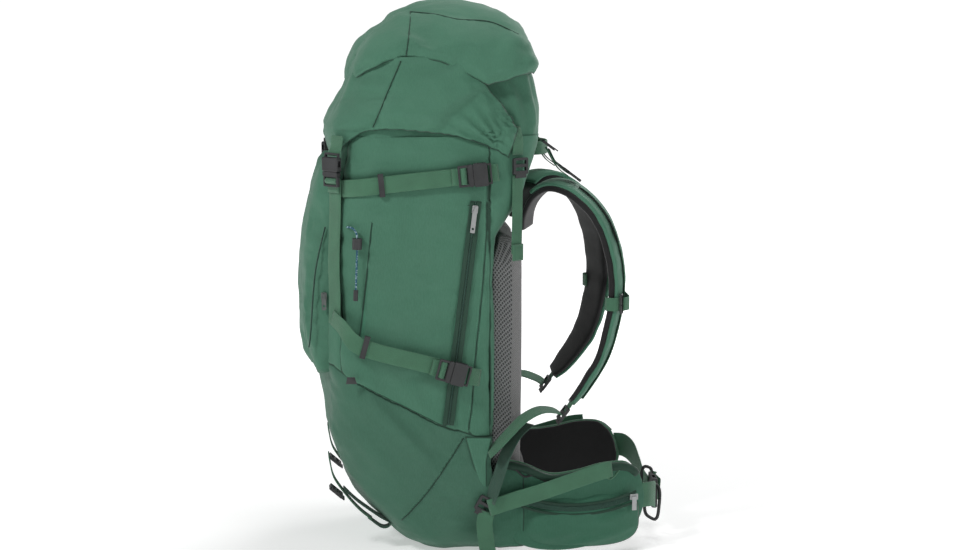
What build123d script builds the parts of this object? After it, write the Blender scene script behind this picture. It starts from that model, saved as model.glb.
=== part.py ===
from build123d import *
import os
from math import cos, radians, sin, sqrt

os.makedirs("parts", exist_ok=True)

# All sizes are in millimetres. +X is the wearer's right, +Y is towards the wearer's back
# (the harness side) and +Z is up. The origin is on the flat underside of the base.

# Cloth, webbing and clearances
CLOTH = 2.0
WEB = 25.0
SLIM_WEB = 20.0
BELT_WEB = 38.0
WEB_THICK = 1.6
GAP = 0.4

# Main bag sections: height, front, back, half width, front corner radius, back corner radius
BAG = [
    (0, -60, 50, 108, 50, 12),
    (18, -90, 50, 134, 60, 12),
    (50, -121, 50, 150, 66, 12),
    (100, -158, 50, 162, 70, 12),
    (190, -194, 50, 168.5, 70, 12),
    (300, -202, 50, 169, 70, 12),
    (400, -201, 50, 169, 70, 12),
    (450, -200, 50, 169, 70, 12),
    (478, -198, 54, 169, 70, 16),
    (505, -197, 72, 169, 70, 28),
    (535, -194, 92, 168, 70, 40),
    (590, -185, 112, 162, 70, 55),
    (626, -177, 121, 155, 68, 58),
    (660, -165, 122, 147, 64, 58),
    (690, -150, 117, 137, 60, 58),
    (722, -132, 111, 127, 56, 54),
]
RIM_HEIGHT = 626.0
COLLAR_TOP = 722.0
FRONT_SEAM = -172.0
BACK_SEAM = 46.0
# The slanted seam between the boot and the panels above, as (y, z) points
BOOT_SEAM = [(-260, 300), (-186, 289), (-148, 266), (-88, 234), (-30, 203), (30, 184), (200, 184)]

# Front pocket bulge: height, front, back, half width, front corner radius, back corner radius
FRONT_POCKET = [
    (280, -216, -120, 122, 40, 5),
    (330, -228, -120, 126, 46, 5),
    (400, -230, -120, 128, 48, 5),
    (470, -224, -120, 128, 46, 5),
    (540, -210, -120, 124, 40, 5),
    (585, -198, -120, 116, 30, 5),
]

# Side pocket outline, as (y, z) points, and how far out its face stands
SIDE_POCKET = [(-132, 507), (12, 527), (0, 430), (-14, 320), (-27, 212), (-88, 243), (-146, 274), (-152, 321)]
POCKET_FACE = 180.0

# Side zip: a straight line on the side panel
ZIP_TOP = (24.0, 534.0)
ZIP_BOTTOM = (-17.0, 205.0)
ZIP_SURFACE = 170.2
TAPE_WIDTH = 14.0
TAPE_THICK = 0.8
# Puller length on the front and hip pockets' sliders
SHORT_PULLER = 20.0

# Lid tiers
LOWER_TIER = [
    (590, -194, 150, 171, 75, 40),
    (640, -189, 150, 169, 75, 40),
    (690, -162, 150, 153, 68, 40),
    (735, -144, 150, 143, 64, 40),
]
LOWER_TIER_SIDE = [
    (-230, 596), (-176, 603), (-123, 644), (-67, 638), (-2, 627), (42, 617), (71, 592), (86, 637), (42, 699),
    (30, 734), (-230, 734),
]
UPPER_TIER = [
    (680, -171, 123, 160, 75, 50),
    (712, -161, 121, 157, 72, 50),
    (753, -140, 110, 148, 66, 48),
    (788, -99, 84, 118, 55, 42),
    (809, -61, 42, 72, 38, 30),
    (817, -30, 8, 22, 16, 12),
]
UPPER_TIER_SIDE = [
    (-230, 690), (-168, 696), (-79, 739), (-42, 739), (42, 700), (104, 714), (121, 712), (150, 712),
    (150, 830), (-230, 830),
]
POCKET_FLOOR = 737.0

# Back system
SHEET = (53.0, 54.4)
STAY = (54.6, 56.8)
PAD_BACK = 57.2
PAD_FACE = 95.0
PAD_HALF = 136.0
PAD_LOW = 84.0
PAD_HIGH = 484.0

# Shoulder strap centre line: x, y, z, width, thickness
STRAP = [
    (58, 107.5, 483, 62, 12),
    (60, 109.5, 505, 64, 13),
    (66, 121, 531, 66, 15),
    (74, 143, 547, 68, 16),
    (82, 170, 543, 68, 17),
    (89, 197, 524, 67, 17),
    (94, 222, 490, 66, 17),
    (98, 238, 440, 66, 17),
    (98, 242, 390, 65, 17),
    (98, 235, 340, 63, 16),
    (102, 219, 290, 58, 15),
    (110, 188, 242, 46, 13),
    (114, 172, 224, 34, 11),
]

# Hip wing centre line: x, y, middle height, height, thickness
WING = [
    (146, 62, 92, 108, 15),
    (150, 95, 78, 124, 18),
    (151, 135, 66, 116, 19),
    (149, 175, 68, 118, 19),
    (145, 215, 76, 120, 18),
    (138, 250, 80, 112, 17),
    (124, 279, 82, 84, 14),
]
# Hip pocket face, a plane on the outside of the wing: two corners in plan
HIP_FACE_REAR = (170.0, 96.0)
HIP_FACE_FRONT = (156.0, 272.0)
HIP_ZIP_MIDDLE = (178.0, 304.0)
HIP_ZIP_RADIUS = 232.0
HIP_ZIP_END = 21.0

# Belt buckle mouth, and the belt webbing from each wing's tip to it
BELT_Y = 306.0
BELT_Z = 66.0
BELT_MOUTH_X = 34.0
BELT_RIGHT = [(125, 290, 82), (108, 300, 78), (90, 305, 70), (74, 307.6, 66)]
BELT_LEFT = [(-125, 290, 98), (-100, 301, 90), (-60, 305, 74), (-24, 304.8, 66), (26, 304.8, 66)]
STABILISER = [(178, 68, 88), (177, 90, 95), (174, 120, 105), (170, 160, 118), (166, 205, 131)]
FIN = [(4, 184), (48, 184), (60, 150), (52, 104), (40, 104)]
FIN_NEAR = 170.4

# Side straps: centre lines on the right, buckle mouths and their slopes in degrees
UPPER_STRAP = [
    (145, -172.7, 552), (157.6, -159.3, 553), (166.5, -143.2, 554.8), (170.6, -126, 557), (172.6, -70, 563),
    (172.6, 10, 571),
]
LOWER_STRAP = [(150, -184, 364), (172, -170, 352), (183.2, -152, 331), (183.2, -120, 317.5), (182.8, -26, 292)]
UPPER_MOUTH = (174.4, 20.0, 572.5)
LOWER_MOUTH = (185.2, -12.0, 287.0)
UPPER_SLOPE = 5.5
LOWER_SLOPE = -15.5
UPPER_KEEPER = (171.8, -112.0, 558.4)
LOWER_KEEPER = (183.4, -138.0, 325.1)

# Lid straps on the front corners. The corner faces this many degrees from +X towards -Y.
CORNER_TURN = 50.0
CORNER = (cos(radians(CORNER_TURN)), -sin(radians(CORNER_TURN)), 0.0)
CORNER_ACROSS = (sin(radians(CORNER_TURN)), cos(radians(CORNER_TURN)), 0.0)
LID_MOUTH = (146.0, -180.0, 577.0)
LID_STRAP = [(144.6, -178.4, 566), (145, -179, 540), (146, -180, 500), (146.2, -180.3, 440), (145.8, -180.2, 386)]
LID_TAB = [(145.9, -179.8, 599.5), (145.9, -179.8, 602), (142.4, -175.7, 611), (140.7, -173.7, 628)]
TAB_WIDTH = 24.0
TAB_THICK = 0.8

# Rear lid straps, gear loops, load lifters and the harness's lower straps, on the right
REAR_ACROSS = (0.6, -0.8, 0)
LID_REAR_STRAP = [(158, 86, 622), (158, 86, 606)]
REAR_TAIL = [(158, 86, 566), (160, 84, 500), (160, 84, 446)]
GEAR_LOOP = [(96, -190, 146), (98, -186, 118), (98, -160, 80), (98, -128, 45)]
LOAD_LIFTER = [(84, 152, 595), (84, 163, 581)]
LOWER_HARNESS = [(122, 146, 212), (144, 122, 214), (162, 98, 205), (176, 80, 190), (186, 70, 172)]

# Chest strap
STERNUM_Y = 258.0
STERNUM_Z = 374.0
STERNUM_MOUTH_X = 8.0
STERNUM_RIGHT = [(116, 257.5, 374), (70, 258.8, 374), (34, 259.6, 374)]
STERNUM_LEFT = [(-116, 256.7, 374), (-60, 256.7, 374), (1, 256.7, 374)]

# Elastic cord: its route, bend radii and the stop and end that ride on it
CORD_DIAMETER = 3.0
CORD_X = 176.0
CORD_POINTS = [(158, -161.3, 497), (168, -158, 498), (CORD_X, -147, 492), (CORD_X, -150, 408)]
CORD_RADII = [16.0, 8.0]
CORD_LEAN = -2.05
CORD_LOCK = (CORD_X, -147.6, 475.0)
CORD_END = (CORD_X, -150.3, 400.0)


# Shapes shared by several pieces


def section(station, inset=0.0):
    """A flat D-shaped face: straight back, rounded corners and a slightly bowed front."""
    height, front, back, half, front_radius, back_radius = station
    front += inset
    back -= inset
    half -= inset
    front_radius = max(front_radius - inset, 3)
    back_radius = max(back_radius - inset, 3)
    bow = 0.04 * half
    flat = half - front_radius
    corner = front + bow + front_radius
    rear = back - back_radius
    cut = sqrt(0.5)
    right_front = ThreePointArc(
        (half, corner),
        (flat + front_radius * cut, corner - front_radius * cut),
        (flat, front + bow),
    )
    left_front = ThreePointArc(
        (-flat, front + bow),
        (-flat - front_radius * cut, corner - front_radius * cut),
        (-half, corner),
    )
    right_back = ThreePointArc(
        (half - back_radius, back),
        (half - back_radius + back_radius * cut, rear + back_radius * cut),
        (half, rear),
    )
    left_back = ThreePointArc(
        (-half, rear),
        (-half + back_radius - back_radius * cut, rear + back_radius * cut),
        (-half + back_radius, back),
    )
    outline = [
        Line((-half + back_radius, back), (half - back_radius, back)),
        right_back,
        Line((half, rear), (half, corner)),
        right_front,
        ThreePointArc((flat, front + bow), (0, front), (-flat, front + bow)),
        left_front,
        Line((-half, corner), (-half, rear)),
        left_back,
    ]
    return Pos(0, 0, height) * make_face(outline)


def body(stations, inset=0.0):
    """A solid lofted through sections, each one moved in by the inset."""
    return loft([section(station, inset) for station in stations])


def raised(stations, low=0.0, high=0.0):
    """The same stations with the lowest one raised and the highest one moved up."""
    first = (stations[0][0] + low,) + stations[0][1:]
    last = (stations[-1][0] + high,) + stations[-1][1:]
    return [first] + stations[1:-1] + [last]


def side_cut(points, half=300.0):
    """A block as wide as the pack whose side outline is the given (y, z) points."""
    face = Plane.YZ.offset(-half) * make_face(Polyline(*points, close=True))
    return extrude(face, 2 * half)


def side_slab(points, near, far):
    """A slab with a side outline of (y, z) points, between two x positions."""
    face = Plane.YZ.offset(near) * make_face(Polyline(*points, close=True))
    return extrude(face, far - near)


def mirrored(shape):
    """The same shape on the other side of the pack."""
    return mirror(shape, Plane.YZ)


def ribbon(points, across, width=WEB, thickness=WEB_THICK, corner=0.0, level=False, straight=False):
    """A band lofted along points. A point may add its own width and thickness.
    A level band keeps its ends upright where its points climb or fall. A straight band has
    flat runs between its points instead of one smooth curve."""
    faces = []
    for index, point in enumerate(points):
        before = Vector(*points[max(index - 1, 0)][:3])
        after = Vector(*points[min(index + 1, len(points) - 1)][:3])
        run = after - before
        along = Vector(run.X, run.Y, 0 if level else run.Z).normalized()
        wide = point[3] if len(point) > 3 else width
        thick = point[4] if len(point) > 4 else thickness
        side = Vector(*across) - along * Vector(*across).dot(along)
        plane = Plane(origin=point[:3], x_dir=side, z_dir=along)
        outline = RectangleRounded(wide, thick, corner * thick) if corner else Rectangle(wide, thick)
        faces.append(plane * outline)
    return loft(faces, ruled=straight)


def block(x_range, y_range, z_range):
    """A box between limits on each axis."""
    size = [limits[1] - limits[0] for limits in (x_range, y_range, z_range)]
    middle = [(limits[0] + limits[1]) / 2 for limits in (x_range, y_range, z_range)]
    return Pos(*middle) * Box(*size)


def buckle_female(web):
    """The socket half of a side-release buckle. Its mouth is at x = 0 and faces +X."""
    wide = web + 9
    long = 0.55 * web + 7
    tall = 8.0
    shell = block((-long, 0), (-wide / 2, wide / 2), (0, tall))
    shell = fillet(shell.edges().filter_by(Axis.Z), 3)
    shell = fillet(shell.faces().sort_by(Axis.Z)[-1].edges(), 1.2)
    shell -= block((4 - long, 1), (3.4 - wide / 2, wide / 2 - 3.4), (1.6, tall - 1.6))
    for side in (-1, 1):
        window = block((5 - long, -7), (-3, 3), (1.6, tall - 1.6))
        shell -= Pos(0, side * wide / 2, 0) * window
    loop = block((-long - 6, 1 - long), (-web / 2 - 2.5, web / 2 + 2.5), (0.6, 4.4))
    loop -= block((-long - 3.6, 0.2 - long), (-web / 2, web / 2), (0, 5))
    return shell + loop


def buckle_male(web):
    """The prong half, seated in its socket, with two bars that grip the webbing."""
    wide = web + 9
    inner = wide / 2 - 3.4 - GAP
    shoulder = block((GAP, 7), (-wide / 2 + 1, wide / 2 - 1), (0.4, 7.6))
    shoulder = fillet(shoulder.edges().filter_by(Axis.Z), 2)
    frame = block((6, 22), (-wide / 2 + 1.5, wide / 2 - 1.5), (1.8, 6.2))
    frame = fillet(frame.edges().filter_by(Axis.Z), 1.5)
    for low in (8.2, 15.0):
        frame -= block((low, low + 4.2), (-web / 2, web / 2), (0, 9))
    male = shoulder + frame
    reach = 0.55 * web + 2.4
    arm = block((-reach, 1), (inner - 4, inner), (2.2, 5.8))
    male += arm + mirror(arm, Plane.XZ)
    return male + block((-0.7 * reach, 1), (-2, 2), (2.6, 5.4))


def ladder_lock(web):
    """A flat ladder-lock: a frame with two slots and a lifted thumb lip at +X."""
    wide = web + 8
    frame = block((-12, 12), (-wide / 2, wide / 2), (0, 4))
    frame = fillet(frame.edges().filter_by(Axis.Z), 3)
    for low in (-8.6, 1.4):
        frame -= block((low, low + 5.6), (-web / 2, web / 2), (-1, 5))
    lip = block((10, 17), (-web / 2, web / 2), (2.2, 4.2))
    return frame + lip


def zip_slider(length=34.0):
    """A zip slider lying on its tape, with its puller hanging towards -X."""
    slider = block((-6, 6), (-4.2, 4.2), (0, 3.0))
    slider = fillet(slider.edges().filter_by(Axis.Z), 2)
    bridge = block((-4, 4), (-1.2, 1.2), (2.8, 5.4))
    puller = block((-length, -2), (-3.4, 3.4), (3.6, 4.8))
    puller = fillet(puller.edges().filter_by(Axis.Z), 1.5)
    puller -= Pos(6 - length, 0, 4) * Cylinder(1.8, 4)
    return slider + bridge + puller


# The bag


def bag_shell():
    """The open-topped cloth bag in one piece, before it is cut into panels."""
    return body(BAG) - body(raised(BAG, low=CLOTH, high=6), CLOTH)


def split_bag():
    """Cuts the bag along its seams: boot, front, two sides, back and collar."""
    shell = bag_shell()
    boot_zone = side_cut(BOOT_SEAM + [(200, -20), (-260, -20)])
    boot = shell & boot_zone
    upper = shell - boot_zone
    collar = upper & block((-300, 300), (-300, 300), (RIM_HEIGHT, COLLAR_TOP + 10))
    walls = upper & block((-300, 300), (-300, 300), (0, RIM_HEIGHT))
    front = walls & block((-300, 300), (-300, FRONT_SEAM), (0, 700))
    back = walls & block((-300, 300), (BACK_SEAM, 300), (0, 700))
    middle = (FRONT_SEAM, BACK_SEAM)
    right = walls & block((0, 300), middle, (0, 700))
    left = walls & block((-300, 0), middle, (0, 700))
    return {
        "base_boot": boot,
        "front_panel": front,
        "side_panel_right": right,
        "side_panel_left": left,
        "back_wall": back,
        "extension_collar": collar,
    }


def front_pocket(bag):
    """The bulging front pocket, a hollow pouch sewn on the front panel."""
    outer = body(FRONT_POCKET)
    inner = body(raised(FRONT_POCKET, low=CLOTH, high=-CLOTH), CLOTH)
    return outer - inner - bag


def side_pocket(bag):
    """An open-topped sleeve pocket that stands off the side panel."""
    rim = Plane.YZ.offset(150) * make_face(Polyline(*SIDE_POCKET, close=True))
    space = Plane.YZ.offset(150) * offset(make_face(Polyline(*SIDE_POCKET, close=True)), -CLOTH)
    outer = extrude(rim, POCKET_FACE - 150)
    inner = extrude(space, POCKET_FACE - 150 - CLOTH)
    mouth = Pos(0, 0, 12) * (inner & block((150, 200), (-120, 4), (470, 540)))
    sleeve = outer - inner - mouth - bag
    return sleeve.solids().sort_by(SortBy.VOLUME)[-1]


def zip_line(along):
    """A point on the side zip, from 0 at the bottom to 1 at the top."""
    y = ZIP_BOTTOM[0] + along * (ZIP_TOP[0] - ZIP_BOTTOM[0])
    z = ZIP_BOTTOM[1] + along * (ZIP_TOP[1] - ZIP_BOTTOM[1])
    return y, z


def side_zip_tape():
    low = zip_line(0)
    high = zip_line(1)
    x = ZIP_SURFACE + TAPE_THICK / 2
    return ribbon([(x, *low), (x, *high)], (0, 1, 0), TAPE_WIDTH, TAPE_THICK)


def side_zip_slider():
    y, z = zip_line(0.965)
    up = Vector(0, ZIP_TOP[0] - ZIP_BOTTOM[0], ZIP_TOP[1] - ZIP_BOTTOM[1])
    plane = Plane(origin=(ZIP_SURFACE + TAPE_THICK + GAP, y, z), x_dir=up, z_dir=(1, 0, 0))
    return plane * zip_slider()


def front_zip_slider():
    """The front pocket's slider, on the pocket's right edge."""
    slider = zip_slider(SHORT_PULLER)
    plane = Plane(origin=(129.2, -196, 392), x_dir=(0, 0, 1), z_dir=(1, 0, 0))
    return plane * slider


# The back system


def frame_sheet():
    outline = RectangleRounded(2 * PAD_HALF - 12, 340, 40)
    return extrude(Plane.XZ.offset(-SHEET[0]) * Pos(0, 258) * outline, SHEET[0] - SHEET[1])


def frame_stays():
    stay = block((52, 66), STAY, (92, 424))
    return stay + mirrored(stay)


def back_pad():
    """The thick mesh-covered pad with its open air channel down the middle."""
    outline = [
        (PAD_BACK, PAD_LOW),
        (PAD_FACE - 8, PAD_LOW),
        (PAD_FACE, PAD_LOW + 14),
        (PAD_FACE, PAD_HIGH - 16),
        (PAD_FACE - 10, PAD_HIGH),
        (PAD_BACK + 18, PAD_HIGH),
        (PAD_BACK, 440),
    ]
    pad = side_slab(outline, -PAD_HALF, PAD_HALF)
    channel = block((-24, 24), (PAD_FACE - 14, PAD_FACE + 1), (PAD_LOW - 1, PAD_HIGH + 1))
    return pad - channel


def lumbar_pad():
    outline = RectangleRounded(236, 104, 30)
    return extrude(Plane.XZ.offset(-(PAD_FACE + GAP)) * Pos(0, 90) * outline, -13)


def haul_loop():
    """A webbing arch that stands out from the top of the back."""
    line = Spline((-48, 121), (-30, 140), (0, 146), (30, 140), (48, 121))
    return extrude(Pos(0, 0, 590) * trace(line, 3), SLIM_WEB)


# Straps and buckles on the sides


def facing_front(origin, slope):
    """A plane on the right side whose local +X runs to the front, down the strap's slope."""
    turn = radians(slope)
    return Plane(origin=origin, x_dir=(0, -cos(turn), -sin(turn)), z_dir=(1, 0, 0))


def compression_webbing():
    """Four side straps and the short tabs that hold their socket halves."""
    straps = ribbon(UPPER_STRAP, (0, 0, 1), straight=True) + ribbon(LOWER_STRAP, (0, 0, 1), straight=True)
    upper_tab = facing_front(UPPER_MOUTH, UPPER_SLOPE) * block((-34, -22.5), (-12, 12), (-1.6, 0.4))
    lower_tab = facing_front(LOWER_MOUTH, LOWER_SLOPE) * block((-34, -22.5), (-12, 12), (-1.6, 0.4))
    right = straps + upper_tab + lower_tab
    return right + mirrored(right)


def compression_females():
    upper = facing_front(UPPER_MOUTH, UPPER_SLOPE) * buckle_female(WEB)
    lower = facing_front(LOWER_MOUTH, LOWER_SLOPE) * buckle_female(WEB)
    right = upper + lower
    return right + mirrored(right)


def upper_male():
    return facing_front(UPPER_MOUTH, UPPER_SLOPE) * buckle_male(WEB)


def lower_male():
    return facing_front(LOWER_MOUTH, LOWER_SLOPE) * buckle_male(WEB)


def strap_keepers():
    """Elastic keepers and tri-glides that hold the straps' loose ends."""
    keeper = Box(5.8, 8, 33.4) - Box(4.2, 9, 30.4)
    upper = Pos(*UPPER_KEEPER) * Rot(X=UPPER_SLOPE) * keeper
    lower = Pos(*LOWER_KEEPER) * Rot(X=LOWER_SLOPE) * keeper
    right = upper + lower
    return right + mirrored(right)


# Front corner straps between the lid and the bag


def lid_mouth_plane():
    return Plane(origin=LID_MOUTH, x_dir=(0, 0, -1), z_dir=CORNER)


def lid_females():
    socket = lid_mouth_plane() * buckle_female(WEB)
    return socket + mirrored(socket)


def lid_female_tabs():
    """Webbing tabs that hang the lid's socket halves from its skirt."""
    tab = ribbon(LID_TAB, CORNER_ACROSS, TAB_WIDTH, TAB_THICK, straight=True)
    return tab + mirrored(tab)


def lid_male():
    return lid_mouth_plane() * buckle_male(WEB)


def lid_strap_webbing():
    """The straps that run down the front corners from the lid's prong halves."""
    strap = ribbon(LID_STRAP, CORNER_ACROSS)
    return strap + mirrored(strap)


# Lid


def lower_tier():
    shell = body(LOWER_TIER) - body(raised(LOWER_TIER, low=-4, high=4), CLOTH)
    return shell & side_cut(LOWER_TIER_SIDE)


def upper_tier():
    """The lid's top pocket: a hollow dome with a flat floor."""
    dome = body(UPPER_TIER)
    hollow = body(raised(UPPER_TIER, low=-4, high=-CLOTH), CLOTH)
    hollow -= block((-300, 300), (-300, 300), (POCKET_FLOOR, POCKET_FLOOR + CLOTH))
    return (dome - hollow) & side_cut(UPPER_TIER_SIDE)


def rear_strap(points):
    strap = ribbon(points, REAR_ACROSS, SLIM_WEB)
    return strap + mirrored(strap)


def lid_rear_webbing():
    """Short straps from the lid's rear corners to the ladder-locks on the back."""
    return rear_strap(LID_REAR_STRAP)


def rear_strap_tails():
    """The loose ends that hang below the rear ladder-locks."""
    return rear_strap(REAR_TAIL)


def gear_loops():
    """Two tool loops low on the front, held by ladder-locks."""
    loop = ribbon(GEAR_LOOP, (1, 0, 0), SLIM_WEB)
    return loop + mirrored(loop)


def pack_ladder_locks():
    """Every ladder-lock that is sewn to the bag."""
    rear = Plane(origin=(161, 88, 584), x_dir=(0, 0, -1), z_dir=(0.8, 0.6, 0)) * ladder_lock(SLIM_WEB)
    side = Plane(origin=(172, 40, 82), x_dir=(0, -0.5, -0.85), z_dir=(1, 0, 0)) * ladder_lock(WEB)
    tool = Plane(origin=(98, -180, 92), x_dir=(0, 0.75, -0.65), z_dir=(0, -0.65, -0.75))
    tool_lock = tool * ladder_lock(SLIM_WEB)
    lifter = Plane(origin=(84, 137, 607), x_dir=(0, 0.8, -0.6), z_dir=(0, 0.6, 0.8)) * ladder_lock(SLIM_WEB)
    right = rear + side + tool_lock + lifter
    return right + mirrored(right)


# Hip belt


def hip_wing():
    return ribbon(WING, (0, 0, 1), corner=0.3, level=True)


def hip_plane(y, z, lift=0.0):
    """A plane on the hip pocket's face, with its normal outwards and local Y upwards."""
    run = Vector(HIP_FACE_FRONT[0] - HIP_FACE_REAR[0], HIP_FACE_FRONT[1] - HIP_FACE_REAR[1], 0)
    along = run.normalized()
    out = Vector(along.Y, -along.X, 0)
    share = (y - HIP_FACE_REAR[1]) / run.Y
    foot = Vector(*HIP_FACE_REAR, 0) + run * share + out * lift
    return Plane(origin=(foot.X, foot.Y, z), x_dir=along, z_dir=out)


def hip_pocket():
    """A flat-faced pouch sewn on the outside of the wing."""
    middle_y = (HIP_FACE_REAR[1] + HIP_FACE_FRONT[1]) / 2
    long = HIP_FACE_FRONT[1] - HIP_FACE_REAR[1] - 6
    outline = RectangleRounded(long, 84, 26)
    pouch = extrude(hip_plane(middle_y, 54) * outline, -14)
    inner = extrude(hip_plane(middle_y, 54, -CLOTH) * offset(outline, -CLOTH), -20)
    wing = ribbon([point[:4] + (point[4] + 1.2,) for point in WING], (0, 0, 1), corner=0.3, level=True)
    shell = pouch - inner - wing
    return shell.solids().sort_by(SortBy.VOLUME)[-1]


def hip_slider():
    """The hip pocket's slider at the front end of its curved zip."""
    turn = radians(HIP_ZIP_END)
    y = HIP_ZIP_MIDDLE[0] + HIP_ZIP_RADIUS * sin(turn)
    z = HIP_ZIP_MIDDLE[1] - HIP_ZIP_RADIUS * cos(turn)
    face = hip_plane(y, z, GAP)
    slider = block((-6, 6), (-4.2, 4.2), (0, 3.0))
    slider += block((-4, 4), (-1.2, 1.2), (2.8, 5.4))
    puller = block((-3.4, 3.4), (-SHORT_PULLER, 0), (3.6, 4.8))
    return face * (slider + puller)


def belt_plane():
    """A plane at the belt buckle's mouth: local +X runs to the wearer's left."""
    return Plane(origin=(BELT_MOUTH_X, BELT_Y, BELT_Z), x_dir=(-1, 0, 0), z_dir=(0, 1, 0))


def belt_female():
    return belt_plane() * buckle_female(BELT_WEB)


def belt_male():
    return belt_plane() * buckle_male(BELT_WEB)


def hip_webbing(sign):
    """Belt webbing from a wing's tip to the buckle. sign is +1 on the right."""
    return ribbon(BELT_RIGHT if sign > 0 else BELT_LEFT, (0, 0, 1), BELT_WEB)


def stabiliser_straps():
    """Webbing from the ladder-lock on the bag over the hip pocket."""
    strap = ribbon(STABILISER, (0, 0, 1))
    return strap + mirrored(strap)


def side_fin():
    """The cloth fin that carries the lower strap's pull into the bag's side."""
    fin = side_slab(FIN, FIN_NEAR, FIN_NEAR + CLOTH)
    return fin + mirrored(fin)


# Shoulder harness


def shoulder_strap():
    return ribbon(STRAP, (1, 0, 0), corner=0.3)


def face_line(low, high, lift):
    """Points along the strap's outer face, between two of its stations."""
    points = []
    for index in range(low, high):
        before = STRAP[index - 1]
        after = STRAP[index + 1]
        dy = after[1] - before[1]
        dz = after[2] - before[2]
        size = sqrt(dy * dy + dz * dz)
        x, y, z, wide, thick = STRAP[index]
        out = thick / 2 + lift
        points.append((x, y - out * dz / size, z + out * dy / size))
    return points


def shoulder_webbing():
    """The webbing strip stitched down the front of each strap."""
    strip = ribbon(face_line(5, 11, 2.2), (1, 0, 0), SLIM_WEB)
    return strip + mirrored(strip)


def shoulder_locks():
    """Ladder-locks at the load lifter and at the foot of each strap."""
    upper = Plane(origin=(84, 176, 560), x_dir=(0, -0.8, 0.6), z_dir=(0, 0.6, 0.8)) * ladder_lock(SLIM_WEB)
    lower = Plane(origin=(115, 158, 208), x_dir=(0, -0.6, -0.8), z_dir=(0, 0.8, -0.6)) * ladder_lock(WEB)
    right = upper + lower
    return right + mirrored(right)


def load_lifters():
    lifter = ribbon(LOAD_LIFTER, (1, 0, 0), SLIM_WEB)
    return lifter + mirrored(lifter)


def lower_straps():
    """Webbing from the foot of each shoulder strap back to the side fin."""
    strap = ribbon(LOWER_HARNESS, (1, 0.3, -0.2))
    return strap + mirrored(strap)


def sternum_plane():
    return Plane(origin=(STERNUM_MOUTH_X, STERNUM_Y, STERNUM_Z), x_dir=(-1, 0, 0), z_dir=(0, 1, 0))


def sternum_female():
    return sternum_plane() * buckle_female(SLIM_WEB)


def sternum_male():
    return sternum_plane() * buckle_male(SLIM_WEB)


def sternum_webbing():
    """Chest webbing: right half to the socket, left half under the prong half."""
    right = ribbon(STERNUM_RIGHT, (0, 0, 1), SLIM_WEB)
    left = ribbon(STERNUM_LEFT, (0, 0, 1), SLIM_WEB)
    return right + left


# Elastic cord on the front right


def accessory_cord():
    """An elastic cord from its loop on the side seam down to its end."""
    line = FilletPolyline(*CORD_POINTS, radius=CORD_RADII)
    start = Plane(origin=line @ 0, z_dir=line % 0)
    return sweep(start * Circle(CORD_DIAMETER / 2), path=line)


def cord_lock():
    barrel = Cylinder(7, 16) - Cylinder(CORD_DIAMETER / 2 + 0.35, 18)
    return Pos(*CORD_LOCK) * Rot(X=CORD_LEAN) * barrel


def cord_end():
    return Pos(*CORD_END) * Rot(X=CORD_LEAN) * Cylinder(3.4, 15.6)


def save(name, shape):
    """Writes one node, and says its volume."""
    solids = shape.solids()
    print(f"{name:28s} solids {len(solids)}  volume {sum(s.volume for s in solids) / 1000:9.2f} cm3")
    export_step(Compound(children=list(solids)) if len(solids) > 1 else solids[0], f"parts/{name}.step")


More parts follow.
